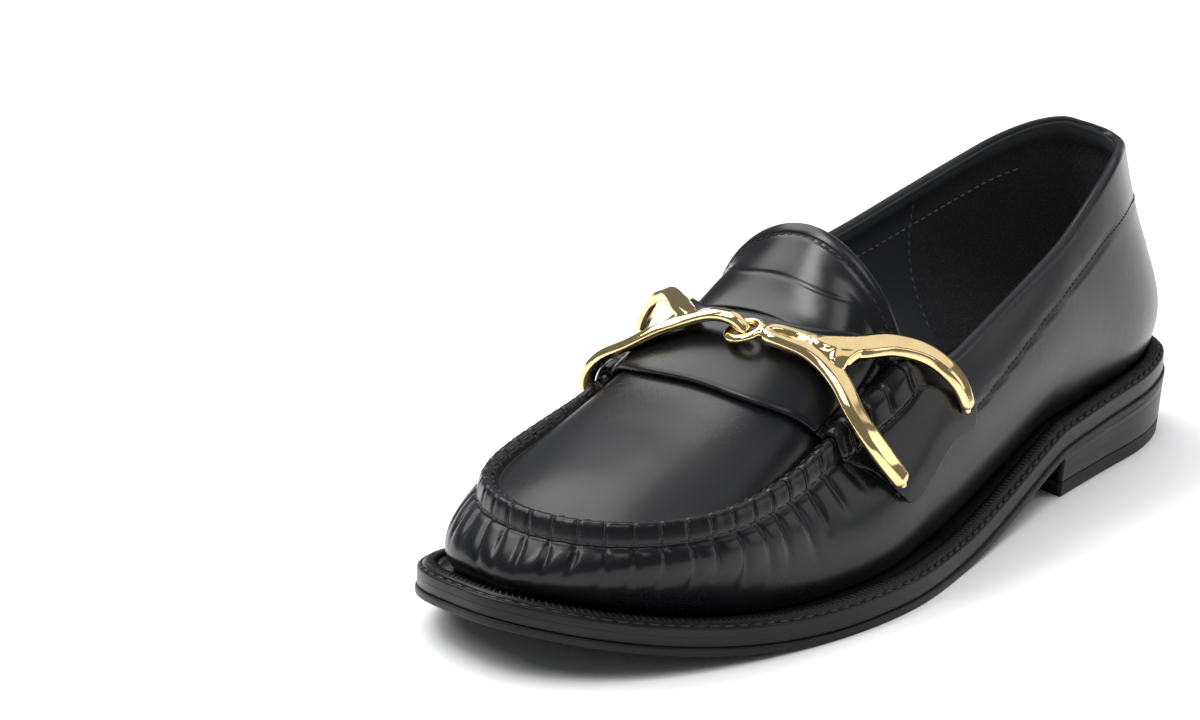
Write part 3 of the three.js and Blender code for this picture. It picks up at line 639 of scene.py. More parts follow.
class Value:
    """A shader number that Python's operators work on."""

    def __init__(self, graph: "Graph", output: bpy.types.NodeSocket) -> None:
        """Wraps a node's output."""
        self.graph = graph
        self.output = output

    def _math(self, operation: str, *others: "Value | float", turned: bool = False) -> "Value":
        """Adds a Math node of this value and others, the other way round where turned."""
        terms = [self, *others]
        if turned:
            terms.reverse()
        node = self.graph.node("ShaderNodeMath", {"operation": operation}, dict(enumerate(terms)))
        return Value(self.graph, node.outputs[0])

    def __add__(self, other: "Value | float") -> "Value":
        """Sum."""
        return self._math("ADD", other)

    __radd__ = __add__

    def __mul__(self, other: "Value | float") -> "Value":
        """Product."""
        return self._math("MULTIPLY", other)

    __rmul__ = __mul__

    def __sub__(self, other: "Value | float") -> "Value":
        """Difference."""
        return self._math("SUBTRACT", other)

    def __rsub__(self, other: "Value | float") -> "Value":
        """Difference from a plain number."""
        return self._math("SUBTRACT", other, turned=True)

    def __pow__(self, other: "Value | float") -> "Value":
        """Power."""
        return self._math("POWER", other)

    def smooth(self, low: float, high: float) -> "Value":
        """Goes smoothly from 0 to 1 between two values."""
        settings = {"interpolation_type": "SMOOTHSTEP"}
        node = self.graph.node(
            "ShaderNodeMapRange", settings, {"Value": self, "From Min": low, "From Max": high}
        )
        return Value(self.graph, node.outputs["Result"])


class Graph:
    """A material's nodes, made one call at a time."""

    def __init__(self, name: str) -> None:
        """Starts a material with one principled surface."""
        self.material = bpy.data.materials.new(name)
        self.material.use_nodes = True
        self.tree = self.material.node_tree
        self.tree.nodes.clear()
        self.surface = self.node("ShaderNodeBsdfPrincipled", {}, {})
        self.node("ShaderNodeOutputMaterial", {}, {"Surface": self.surface.outputs["BSDF"]})
        self.place = self.node("ShaderNodeTexCoord", {}, {}).outputs["Object"]

    def node(self, kind: str, settings: dict, sockets: dict) -> bpy.types.Node:
        """Adds a node.

        Args:
            kind: The node's type.
            settings: Its properties, set first; stops is a ramp's list of places and colours.
            sockets: For each input, by name or number, a value or what is linked to it.

        Returns:
            The node.
        """
        node = self.tree.nodes.new(kind)
        for name, setting in settings.items():
            if name == "stops":
                self._ramp(node.color_ramp, setting)
            else:
                setattr(node, name, setting)
        for name, given in sockets.items():
            source = given.output if isinstance(given, Value) else given
            if isinstance(source, bpy.types.NodeSocket):
                self.tree.links.new(source, node.inputs[name])
            else:
                node.inputs[name].default_value = source
        return node

    @staticmethod
    def _ramp(ramp: bpy.types.ColorRamp, stops: Sequence[tuple[float, Sequence[float]]]) -> None:
        """Sets a ramp's stops."""
        while len(ramp.elements) < len(stops):
            ramp.elements.new(1.0)
        for element, (place, colour) in zip(ramp.elements, stops):
            element.position = place
            element.color = colour

    def noise(self, scale: float, detail: float = 2.0, roughness: float = 0.5) -> Value:
        """Soft noise, with scale in waves a metre."""
        sockets = {"Vector": self.place, "Scale": scale, "Detail": detail, "Roughness": roughness}
        return Value(self, self.node("ShaderNodeTexNoise", {}, sockets).outputs["Fac"])

    def cells(self, scale: float, feature: str = "F1") -> Value:
        """Distance to the nearest of scattered points, with scale in points a metre."""
        node = self.node(
            "ShaderNodeTexVoronoi", {"feature": feature}, {"Vector": self.place, "Scale": scale}
        )
        return Value(self, node.outputs["Distance"])

    def shade(self, amount: Value, low: Sequence[float], high: Sequence[float]) -> bpy.types.NodeSocket:
        """A colour between two, by an amount from 0 to 1."""
        sockets = {"Factor": amount, "A": (*low, 1.0), "B": (*high, 1.0)}
        node = self.tree.nodes.new("ShaderNodeMix")
        node.data_type = "RGBA"
        for socket in node.inputs:
            if socket.enabled and socket.name in sockets:
                given = sockets[socket.name]
                if isinstance(given, Value):
                    self.tree.links.new(given.output, socket)
                else:
                    socket.default_value = given
        return next(s for s in node.outputs if s.enabled)

    def bump(self, height: Value, depth_mm: float) -> None:
        """Roughens the surface's normal by a height, whose 0 to 1 is a depth in millimetres."""
        sockets = {"Height": height, "Distance": depth_mm * MM, "Strength": 1.0}
        node = self.node("ShaderNodeBump", {}, sockets)
        self.tree.links.new(node.outputs["Normal"], self.surface.inputs["Normal"])

    def set(self, **sockets: "Value | float | Sequence[float] | bpy.types.NodeSocket") -> None:
        """Sets or links the surface's own sockets, with _ for a space in their names."""
        for name, given in sockets.items():
            socket = self.surface.inputs[name.replace("_", " ")]
            source = given.output if isinstance(given, Value) else given
            if isinstance(source, bpy.types.NodeSocket):
                self.tree.links.new(source, socket)
            else:
                socket.default_value = source


@dataclass(frozen=True)
class Leather:
    """A leather: its colour, its gloss and its grain."""

    name: str
    slot: str
    dark: tuple[float, float, float] = (0.0042, 0.0044, 0.0052)
    light: tuple[float, float, float] = (0.0075, 0.0078, 0.0092)
    roughness: float = 0.29
    unevenness: float = 0.06
    specular: float = 0.26
    coat: float = 0.1
    coat_roughness: float = 0.16
    grain: Grain = Grain.SMOOTH
    pore_mm: float = 0.55
    depth_mm: float = 0.012

    def material(self) -> bpy.types.Material:
        """Builds the leather's nodes."""
        graph = Graph(self.name)
        cloud = graph.noise(38, 3)
        scuff = graph.noise(420, 4, 0.7)
        pores = graph.cells(1 / (self.pore_mm * MM))
        if self.grain is Grain.SMOOTH:
            height = pores.smooth(0.1, 0.6) * 0.35 + graph.noise(700, 2) * 0.4 + graph.noise(95, 2) * 6
            tone = cloud
            gloss = self.roughness + (cloud - 0.5) * self.unevenness * 2 + (scuff - 0.5) * self.unevenness
        elif self.grain is Grain.PEBBLED:
            edge = graph.cells(1 / (self.pore_mm * MM), "DISTANCE_TO_EDGE")
            height = edge.smooth(0.0, 0.35) + graph.noise(1500, 3) * 0.5
            tone = edge.smooth(0.02, 0.3)
            gloss = self.roughness + (scuff - 0.5) * self.unevenness
        else:
            fleck = graph.noise(2600, 4, 0.8)
            height = fleck + graph.noise(600, 3)
            tone = fleck.smooth(0.5, 0.78)
            gloss = self.roughness + (fleck - 0.5) * self.unevenness
        graph.set(Base_Color=graph.shade(tone, self.dark, self.light), Roughness=gloss)
        graph.set(Coat_Weight=self.coat, Coat_Roughness=self.coat_roughness)
        graph.set(Specular_IOR_Level=self.specular)
        graph.bump(height, self.depth_mm)
        return graph.material


@dataclass(frozen=True)
class WaxedEdge:
    """The dyed and waxed edge of stacked sole leather, or of rubber, with faint level streaks."""

    name: str
    slot: str
    colour: tuple[float, float, float] = (0.0055, 0.0056, 0.006)
    roughness: float = 0.34
    streak: float = 0.1

    def material(self) -> bpy.types.Material:
        """Builds the edge's nodes."""
        graph = Graph(self.name)
        mapping = graph.node("ShaderNodeMapping", {}, {"Vector": graph.place, "Scale": (60, 60, 1400)})
        line = graph.node(
            "ShaderNodeTexNoise", {}, {"Vector": mapping.outputs["Vector"], "Scale": 1.0, "Detail": 3.0}
        )
        streaks = Value(graph, line.outputs["Fac"])
        cloud = graph.noise(55, 3)
        paler = tuple(2.0 * c for c in self.colour)
        graph.set(Base_Color=graph.shade(cloud.smooth(0.3, 0.8), self.colour, paler))
        graph.set(Roughness=self.roughness + (streaks - 0.5) * self.streak + (cloud - 0.5) * 0.1)
        graph.set(Specular_IOR_Level=0.25)
        graph.bump(streaks * 0.7 + graph.noise(800, 3) * 0.5, 0.03)
        return graph.material


@dataclass(frozen=True)
class PolishedMetal:
    """Polished plating with the faintest wear."""

    name: str
    slot: str
    colour: tuple[float, float, float] = (0.92, 0.71, 0.37)
    roughness: float = 0.06

    def material(self) -> bpy.types.Material:
        """Builds the metal's nodes."""
        graph = Graph(self.name)
        wear = graph.noise(160, 5, 0.7)
        fine = graph.noise(300, 2)
        deeper = (self.colour[0] * 0.92, self.colour[1] * 0.88, self.colour[2] * 0.78)
        graph.set(Base_Color=graph.shade(wear.smooth(0.35, 0.7), self.colour, deeper), Metallic=1.0)
        graph.set(Roughness=self.roughness + wear.smooth(0.45, 0.8) * 0.05)
        graph.bump(fine, 0.0006)
        return graph.material


@dataclass(frozen=True)
class Thread:
    """Waxed thread with a twist."""

    name: str
    slot: str
    colour: tuple[float, float, float] = (0.006, 0.006, 0.0065)
    roughness: float = 0.5

    def material(self) -> bpy.types.Material:
        """Builds the thread's nodes."""
        graph = Graph(self.name)
        twist = graph.noise(3200, 2)
        paler = tuple(2.4 * c for c in self.colour)
        graph.set(Base_Color=graph.shade(twist, self.colour, paler), Roughness=self.roughness)
        graph.bump(twist, 0.05)
        return graph.material


@dataclass(frozen=True)
class Finishes:
    """Every finish of the shoe."""

    polished = Leather("polished_leather", "black_leather")
    tongue = Leather("tongue_leather", "black_leather", roughness=0.24, specular=0.42)
    grained = Leather(
        "grained_strip", "grained_leather", roughness=0.55, coat=0.0, grain=Grain.PEBBLED,
        pore_mm=0.9, depth_mm=0.12, light=(0.02, 0.02, 0.021),
    )
    lining = Leather(
        "lining", "lining_leather", roughness=0.5, coat=0.0, depth_mm=0.01,
        dark=(0.042, 0.0435, 0.0465), light=(0.06, 0.062, 0.066),
    )
    suede = Leather(
        "heel_grip_suede", "lining_leather", roughness=0.85, coat=0.0, grain=Grain.NAPPED,
        dark=(0.032, 0.0325, 0.035), light=(0.2, 0.203, 0.21), depth_mm=0.06,
    )
    sock = Leather(
        "insole_leather", "lining_leather", roughness=0.45, coat=0.0, depth_mm=0.01,
        dark=(0.045, 0.046, 0.049), light=(0.065, 0.067, 0.071),
    )
    welt = Leather("welt_leather", "welt_leather", roughness=0.45, coat=0.1, depth_mm=0.03)
    edge = WaxedEdge("sole_edge", "sole_leather")
    outsole = WaxedEdge("outsole_edge", "sole_leather", colour=(0.005, 0.005, 0.0052), roughness=0.45)
    rubber = WaxedEdge("top_lift_rubber", "heel_rubber", colour=(0.0045, 0.0045, 0.005), roughness=0.5)
    gold = PolishedMetal("polished_gold", "gold_metal")
    thread = Thread("waxed_thread", "black_leather")
    fine_thread = Thread("fine_thread", "black_leather", roughness=0.6)
    pale_thread = Thread("lining_thread", "lining_leather", colour=(0.09, 0.09, 0.094), roughness=0.6)


FINISHES = Finishes()
MADE: dict[str, bpy.types.Material] = {}


def dress(thing: bpy.types.Object, *finishes: Leather | WaxedEdge | PolishedMetal | Thread) -> None:
    """Gives an object its finishes, one for each material slot, each built once."""
    for finish in finishes:
        if finish.name not in MADE:
            MADE[finish.name] = finish.material()
        thing.data.materials.append(MADE[finish.name])


class Repeater:
    """Geometry Nodes that set a small rounded form along a path, at a named pitch and size."""

    INPUTS = (
        ("Pitch", "NodeSocketFloat", 0.003), ("Size", "NodeSocketVector", (0.001, 0.0003, 0.0003)),
        ("Jitter", "NodeSocketFloat", 0.0), ("Finish", "NodeSocketMaterial", None),
    )

    def __init__(self) -> None:
        """Builds the tree once."""
        self.tree = bpy.data.node_groups.new("repeat_along_path", "GeometryNodeTree")
        face = self.tree.interface
        face.new_socket("Geometry", in_out="INPUT", socket_type="NodeSocketGeometry")
        self.keys = {}
        for name, kind, default in self.INPUTS:
            socket = face.new_socket(name, in_out="INPUT", socket_type=kind)
            if default is not None:
                socket.default_value = default
            self.keys[name] = socket.identifier
        face.new_socket("Geometry", in_out="OUTPUT", socket_type="NodeSocketGeometry")
        given = self._node("NodeGroupInput", {}, {})
        curve = self._node("GeometryNodeMeshToCurve", {}, {"Mesh": given.outputs["Geometry"]})
        spaced = self._node(
            "GeometryNodeResampleCurve", {"mode": "LENGTH"},
            {"Curve": curve.outputs["Curve"], "Length": given.outputs["Pitch"]},
        )
        ball = self._node("GeometryNodeMeshUVSphere", {}, {"Segments": 8, "Rings": 6, "Radius": 1.0})
        heading = self._node(
            "GeometryNodeInputNamedAttribute", {"data_type": "FLOAT_VECTOR"}, {"Name": "heading"}
        )
        facing = self._node(
            "GeometryNodeInputNamedAttribute", {"data_type": "FLOAT_VECTOR"}, {"Name": "facing"}
        )
        first = self._node(
            "FunctionNodeAlignRotationToVector", {"axis": "X"}, {"Vector": heading.outputs["Attribute"]}
        )
        second = self._node(
            "FunctionNodeAlignRotationToVector", {"axis": "Z", "pivot_axis": "X"},
            {"Rotation": first.outputs["Rotation"], "Vector": facing.outputs["Attribute"]},
        )
        chance = self._node(
            "FunctionNodeRandomValue", {"data_type": "FLOAT"}, {"Min": -1.0, "Max": 1.0, "Seed": 7}
        )
        chance_out = next(s for s in chance.outputs if s.enabled)
        grow = self._node(
            "ShaderNodeMath",
            {"operation": "MULTIPLY_ADD"},
            {0: chance_out, 1: given.outputs["Jitter"], 2: 1.0},
        )
        size = self._node(
            "ShaderNodeVectorMath", {"operation": "SCALE"},
            {"Vector": given.outputs["Size"], "Scale": grow.outputs[0]},
        )
        placed = self._node(
            "GeometryNodeInstanceOnPoints", {},
            {
                "Points": spaced.outputs["Curve"], "Instance": ball.outputs["Mesh"],
                "Rotation": second.outputs["Rotation"], "Scale": size.outputs["Vector"],
            },
        )
        real = self._node("GeometryNodeRealizeInstances", {}, {"Geometry": placed.outputs["Instances"]})
        shaded = self._node(
            "GeometryNodeSetMaterial", {},
            {"Geometry": real.outputs["Geometry"], "Material": given.outputs["Finish"]},
        )
        self._node("NodeGroupOutput", {}, {"Geometry": shaded.outputs["Geometry"]})

    def _node(self, kind: str, settings: dict, sockets: dict) -> bpy.types.Node:
        """Adds a node to the tree, with its settings and its values or links."""
        node = self.tree.nodes.new(kind)
        for name, setting in settings.items():
            setattr(node, name, setting)
        for name, given in sockets.items():
            if isinstance(name, int):
                socket = node.inputs[name]
            else:
                socket = next(s for s in node.inputs if s.name == name and s.enabled)
            if isinstance(given, bpy.types.NodeSocket):
                self.tree.links.new(given, socket)
            else:
                socket.default_value = given
        return node

    def run(
        self, name: str, path: Array, facing: Array, pitch: float, size: Sequence[float],
        finish: Thread | Leather, heading: Optional[Array] = None, closed: bool = False,
        jitter: float = 0.05,
    ) -> bpy.types.Object:
        """Sets forms along a path.

        Args:
            name: The new object's name.
            path: Points of the path in the last's millimetres.
            facing: The surface's normal at each of them.
            pitch: Millimetres from one form to the next.
            size: Half the form's length, width and height, in millimetres.
            finish: Its finish.
            heading: Its length's direction at each point, or nothing for the path's own.
            closed: Whether the path joins up.
            jitter: How far the size of each may differ, as a share.

        Returns:
            A plain mesh object.
        """
        path = np.asarray(path, float)
        if heading is None:
            heading = np.gradient(path, axis=0)
        count = len(path)
        edges = [(k, (k + 1) % count) for k in range(count if closed else count - 1)]
        mesh = bpy.data.meshes.new(name + "_path")
        mesh.from_pydata(Mesher.place(path).tolist(), edges, [])
        for key, vectors in (("heading", heading), ("facing", facing)):
            attribute = mesh.attributes.new(key, "FLOAT_VECTOR", "POINT")
            attribute.data.foreach_set("vector", unit(vectors).astype(np.float32).ravel())
        carrier = bpy.data.objects.new(name + "_path", mesh)
        bpy.context.scene.collection.objects.link(carrier)
        if finish.name not in MADE:
            MADE[finish.name] = finish.material()
        modifier = carrier.modifiers.new("repeat", "NODES")
        modifier.node_group = self.tree
        modifier[self.keys["Pitch"]] = pitch * MM
        modifier[self.keys["Size"]] = [value * MM for value in size]
        modifier[self.keys["Jitter"]] = jitter
        modifier[self.keys["Finish"]] = MADE[finish.name]
        graph = bpy.context.evaluated_depsgraph_get()
        made = bpy.data.meshes.new_from_object(carrier.evaluated_get(graph), depsgraph=graph)
        carrier.modifiers.remove(modifier)
        bpy.data.objects.remove(carrier)
        made.polygons.foreach_set("use_smooth", [True] * len(made.polygons))
        thing = bpy.data.objects.new(name, made)
        bpy.context.scene.collection.objects.link(thing)
        return thing


@dataclass
class Upper:
    """The vamp, the apron, the collar and their lining, as one hollow shell with its sewn relief."""

    wall_rows: int = 44
    cap_rows: int = 24
    apron_rows: int = 34
    toe_columns: int = 460
    side_columns: int = 30
    heel_columns: int = 125
    cell_pitch: float = 7.3
    cell_depth: float = 0.55
    cell_width: float = 0.5
    pillow: float = 0.14
    grip_reach: float = 0.12
    lining_drop: float = 8.5
    collar_line_depth: float = 0.35

    # Gathers under the seam: place along it from the toe in cells, reach down the wall, depth and lean
    GATHERS = Table(("cell", "reach", "depth", "lean"), [
        (-22, 3, 0.1, 0.3), (-16, 5, 0.15, 0.6), (-12, 8, 0.3, 0.8), (-9, 12, 0.5, 0.8),
        (-6, 14, 0.65, 0.7), (-3, 15, 0.7, 0.5), (0, 17, 0.7, 0.38), (3, 18, 0.72, 0.32),
        (6, 19, 0.8, 0.35), (9, 20, 0.85, 0.42), (12, 21, 0.8, 0.5), (14, 16, 0.6, 0.55),
        (17, 7, 0.3, 0.4), (22, 3, 0.1, 0),
    ])
    # Stitched line below the collar: how far under the rim it runs, by its place along the shoe
    COLLAR_LINE = Table(("along", "drop"), [
        (0.02, 15), (0.1, 14.5), (0.164, 13.4), (0.218, 11.6), (0.276, 10.6), (0.33, 11.2), (0.38, 12.4),
        (0.431, 13.6), (0.482, 14.6), (0.56, 15.5),
    ])

    def shares(self) -> Array:
        """The places round the shoe, close together round the toe."""
        throat = [LAST.share_at(LAST.rim_point, LAST.throat, side) for side in Side]
        stops = [0, LAST.corners[0], throat[0], throat[1], LAST.corners[1], 1]
        counts = [
            self.heel_columns, self.side_columns, self.toe_columns, self.side_columns, self.heel_columns,
        ]
        runs = [np.linspace(a, b, n, endpoint=False) for a, b, n in zip(stops, stops[1:], counts)]
        self.throat = throat
        return np.concatenate(runs)

    def build(self) -> bpy.types.Object:
        """Builds the shell.

        Returns:
            The object, with the outside's, the lining's and the heel grip's faces in three slots.
        """
        shares = self.shares()
        ups = np.linspace(0, 1, self.wall_rows)
        wall = LAST.wall_point(shares[:, None], ups[None, :])
        cap, where = smooth_rows(LAST.cap_points(shares), self.cap_rows + 1)
        cap = cap[:, 1:]
        start = cap[:, -1]
        on_apron = (shares >= self.throat[0]) & (shares <= self.throat[1])
        ends = LAST.cap_points(np.array(self.throat))[:, -1]
        t = np.clip((shares - self.throat[0]) / (self.throat[1] - self.throat[0]), 0, 1)
        end = ends[0] * (1 - t[:, None]) + ends[1] * t[:, None]
        end = np.where(on_apron[:, None], end, start)
        across = np.linspace(0, 1, self.apron_rows + 1)[1:] ** 1.25
        plan = start[:, None] * (1 - across[None, :, None]) + end[:, None] * across[None, :, None]
        apron = LAST.on_top(plan[..., 0], plan[..., 1])
        apron = np.where(on_apron[:, None, None], apron, start[:, None])
        outside = np.concatenate([wall, cap, apron], axis=1)
        normals = grid_normals(outside, True)
        relief = self.relief(shares, wall, where[1:])
        outside[:, : relief.shape[1]] += normals[:, : relief.shape[1]] * relief[..., None]
        top_normals = LAST.top_normal(plan[..., 0], plan[..., 1])
        normal = np.where(on_apron[:, None, None], top_normals, (0.0, 0.0, 1.0))
        under = (apron - normal * LAST.leather)[:, ::-4]
        under = np.concatenate([under, (start - [0, 0, LAST.leather])[:, None]], axis=1)
        heights = np.linspace(0.95, 0, 16)
        inside = LAST.wall_point(shares[:, None], heights[None, :])
        inside -= LAST.wall_normal(shares[:, None], heights[None, :]) * LAST.leather
        grid = np.concatenate([outside, under, inside], axis=1)
        slots = np.zeros(grid.shape[:2], int)
        lining_from = outside.shape[1]
        slots[:, lining_from:] = 1
        slots[:, self.wall_rows + self.cap_rows - 7 : lining_from] = np.where(on_apron[:, None], 0, 1)
        at_heel = (shares < self.grip_reach) | (shares > 1 - self.grip_reach)
        slots[at_heel, lining_from:] = 2
        shell = Mesher.ring("upper_shell", grid, slots.ravel())
        dress(shell, FINISHES.polished, FINISHES.lining, FINISHES.suede)
        self.wall = wall
        self.outside = outside
        self.normals = normals
        self.grid_shares = shares
        return shell

    def relief(self, shares: Array, wall: Array, cap_place: Array) -> Array:
        """Depth of the sewn cells, the gathers and the collar's stitched line, in millimetres outwards.

        Args:
            shares: The places round the shoe; not used.
            wall: The wall's points.
            cap_place: Where each of the cap's points lies among its seven control points.

        Returns:
            The height over the smooth surface for each point of the wall and the cap.
        """
        rim = wall[:, -1]
        steps = np.linalg.norm(np.diff(rim, axis=0), axis=1)
        run = np.r_[0, np.cumsum(steps)]
        toe = int(np.argmax(rim[:, 0]))
        run -= run[toe]
        self.run = run
        down = np.linalg.norm(np.diff(wall, axis=1), axis=2)[:, ::-1]
        down = np.concatenate([np.zeros((len(wall), 1)), np.cumsum(down, axis=1)], axis=1)[:, ::-1]
        self.down = down
        cell = -run / self.cell_pitch
        in_front = ease((rim[:, 0] / LAST.length - 0.63) / 0.05)
        near = (cell - np.round(cell)) * self.cell_pitch
        mark = groove(near, self.cell_width)
        puff = self.pillow * np.cos(near / self.cell_pitch * math.pi)
        face = ease(cap_place / 0.5) * ease((5.4 - cap_place) / 1.2)
        cap = (puff[:, None] - self.cell_depth * mark[:, None]) * in_front[:, None] * face[None, :]
        lower_line = groove(cap_place, 0.55)
        upper_line = groove(cap_place - 4.3, 0.35)
        cap = cap - (0.45 * lower_line + 0.18 * upper_line)[None, :] * in_front[:, None]
        out = np.zeros_like(down)
        for k in range(-24, 25):
            reach, depth, lean = (float(self.GATHERS.at(name, k)) for name in ("reach", "depth", "lean"))
            if depth < 0.12:
                continue
            wobble = math.sin(k * 2.4) * 0.6 + math.sin(k * 5.1) * 0.4
            reach *= 1 + 0.35 * wobble
            depth *= 1 - 0.3 * wobble
            place = -k * self.cell_pitch - (lean + 0.12 * wobble) * down
            width = 0.7 + 0.05 * down
            fade = ease(1.2 - down / reach) ** 1.6 * (0.35 + 0.65 * ease(down / 3))
            out -= depth * groove(run[:, None] - place, 1.0 * width) * fade
            swell = groove(run[:, None] - place - self.cell_pitch / 2, 2.6) * fade
            out += 0.25 * depth * swell
        out *= in_front[:, None]
        edge = ease((2.2 - down) / 2.2)
        out -= 0.5 * edge * in_front[:, None] * groove(down, 1.3)
        behind = ease((0.58 - rim[:, 0] / LAST.length) / 0.03)
        line = self.COLLAR_LINE.at("drop", rim[:, 0] / LAST.length)[:, None]
        out -= self.collar_line_depth * groove(down - line, 0.55) * behind[:, None]
        out += 0.12 * groove(down - line - 1.6, 1.1) * behind[:, None]
        return np.concatenate([out, cap], axis=1)

    def on_wall(self, drop: Array) -> tuple[Array, Array]:
        """Points and normals of the finished wall at a distance under the rim, for every place round it."""
        points = []
        normals = []
        for k, depth in enumerate(drop):
            column = self.down[k][::-1]
            rows = np.arange(self.wall_rows)[::-1]
            row = float(np.interp(depth, column, rows))
            low = min(int(row), self.wall_rows - 2)
            share = row - low
            points.append(self.outside[k, low] * (1 - share) + self.outside[k, low + 1] * share)
            normals.append(self.normals[k, low])
        return np.array(points), np.array(normals)

    def stitches(self, repeater: Repeater) -> None:
        """Sews the collar's line, the two lines along the seam and the threads across its cells."""
        rim = self.wall[:, -1]
        drop = self.COLLAR_LINE.at("drop", rim[:, 0] / LAST.length)
        points, normals = self.on_wall(drop)
        for side in Side:
            if side is Side.OUTER:
                run = [k for k in range(len(rim)) if rim[k, 0] < 0.565 * LAST.length and self.run[k] < 0]
                run = [k for k in run if self.grid_shares[k] > 0.012]
            else:
                run = [k for k in range(len(rim)) if rim[k, 0] < 0.575 * LAST.length and self.run[k] > 0]
                run = [k for k in run if self.grid_shares[k] < 0.988]
            path = points[run] + normals[run] * 0.08
            name = "collar_stitches_" + side.name.lower()
            thing = repeater.run(name, path, normals[run], 2.3, (0.85, 0.24, 0.2), FINISHES.fine_thread)
            hand_in(thing, "black_leather")
        front = [k for k in range(len(rim)) if rim[k, 0] > 0.655 * LAST.length]
        rows = {
            "seam_stitches_low": self.wall_rows,
            "seam_stitches_high": self.wall_rows + int(self.cap_rows * 0.7),
        }
        for name, row in rows.items():
            path = self.outside[front, row] + self.normals[front, row] * 0.1
            thing = repeater.run(
                name, path, self.normals[front, row], self.cell_pitch / 2, (1.35, 0.3, 0.26), FINISHES.thread
            )
            hand_in(thing, "black_leather")
        self.cross_threads(repeater)
        self.lining_stitches(repeater)

    def lining_stitches(self, repeater: Repeater) -> None:
        """Sews the lining's line under the rim, and the front edges of the heel grip."""
        for side in Side:
            start, stop = (0.05, self.throat[0]) if side is Side.OUTER else (self.throat[1], 0.95)
            shares = np.linspace(start, stop, 90)
            high = LAST.rim_point(shares)[:, 2] - LAST.wall_point(shares, 0.0)[:, 2]
            ups = 1 - self.lining_drop / high
            normals = LAST.wall_normal(shares, ups)
            path = LAST.wall_point(shares, ups) - normals * (LAST.leather + 0.1)
            name = "lining_stitches_" + side.name.lower()
            line = repeater.run(name, path, -normals, 2.9, (1.1, 0.3, 0.22), FINISHES.pale_thread)
            hand_in(line, "lining_leather")
            share = self.grip_reach if side is Side.OUTER else 1 - self.grip_reach
            ups = np.linspace(0.25, 0.93, 40)
            shares = share + 0 * ups
            normals = LAST.wall_normal(shares, ups)
            path = LAST.wall_point(shares, ups) - normals * (LAST.leather + 0.1)
            name = "grip_stitches_" + side.name.lower()
            line = repeater.run(name, path, -normals, 2.9, (1.1, 0.3, 0.22), FINISHES.pale_thread)
            hand_in(line, "lining_leather")

    def cross_threads(self, repeater: Repeater) -> None:
        """Lays one thread over the seam at each cell's end."""
        marks = []
        normals = []
        headings = []
        for cell in range(-24, 25):
            k = int(np.argmin(np.abs(self.run + cell * self.cell_pitch)))
            if self.wall[k, -1, 0] < 0.655 * LAST.length:
                continue
            for row in range(self.wall_rows + 1, self.wall_rows + int(self.cap_rows * 0.7), 2):
                marks.append(self.outside[k, row] + self.normals[k, row] * 0.05)
                normals.append(self.normals[k, row])
                headings.append(self.outside[k, row + 1] - self.outside[k, row - 1])
        self.beads(repeater, "cell_threads", np.array(marks), np.array(normals), np.array(headings))

    @staticmethod
    def beads(repeater: Repeater, name: str, marks: Array, normals: Array, headings: Array) -> None:
        """Sets one short thread at each mark."""
        ball = bmesh.new()
        bmesh.ops.create_uvsphere(ball, u_segments=6, v_segments=5, radius=1.0)
        points = np.array([v.co[:] for v in ball.verts])
        faces = [[v.index for v in face.verts] for face in ball.faces]
        ball.free()
        all_points = []
        all_faces = []
        size = np.array([0.75, 0.27, 0.24])
        for mark, normal, heading in zip(marks, unit(normals), unit(headings)):
            side = unit(np.cross(normal, heading))
            axes = np.stack([heading, side, np.cross(heading, side)])
            all_faces += [[i + len(all_points) * len(points) for i in face] for face in faces]
            all_points.append(mark + (points * size) @ axes)
        mesh = bpy.data.meshes.new(name)
        mesh.from_pydata(Mesher.place(np.vstack(all_points)).tolist(), [], all_faces)
        mesh.polygons.foreach_set("use_smooth", [True] * len(mesh.polygons))
        thing = bpy.data.objects.new(name, mesh)
        bpy.context.scene.collection.objects.link(thing)
        dress(thing, FINISHES.thread)
        hand_in(thing, "black_leather")


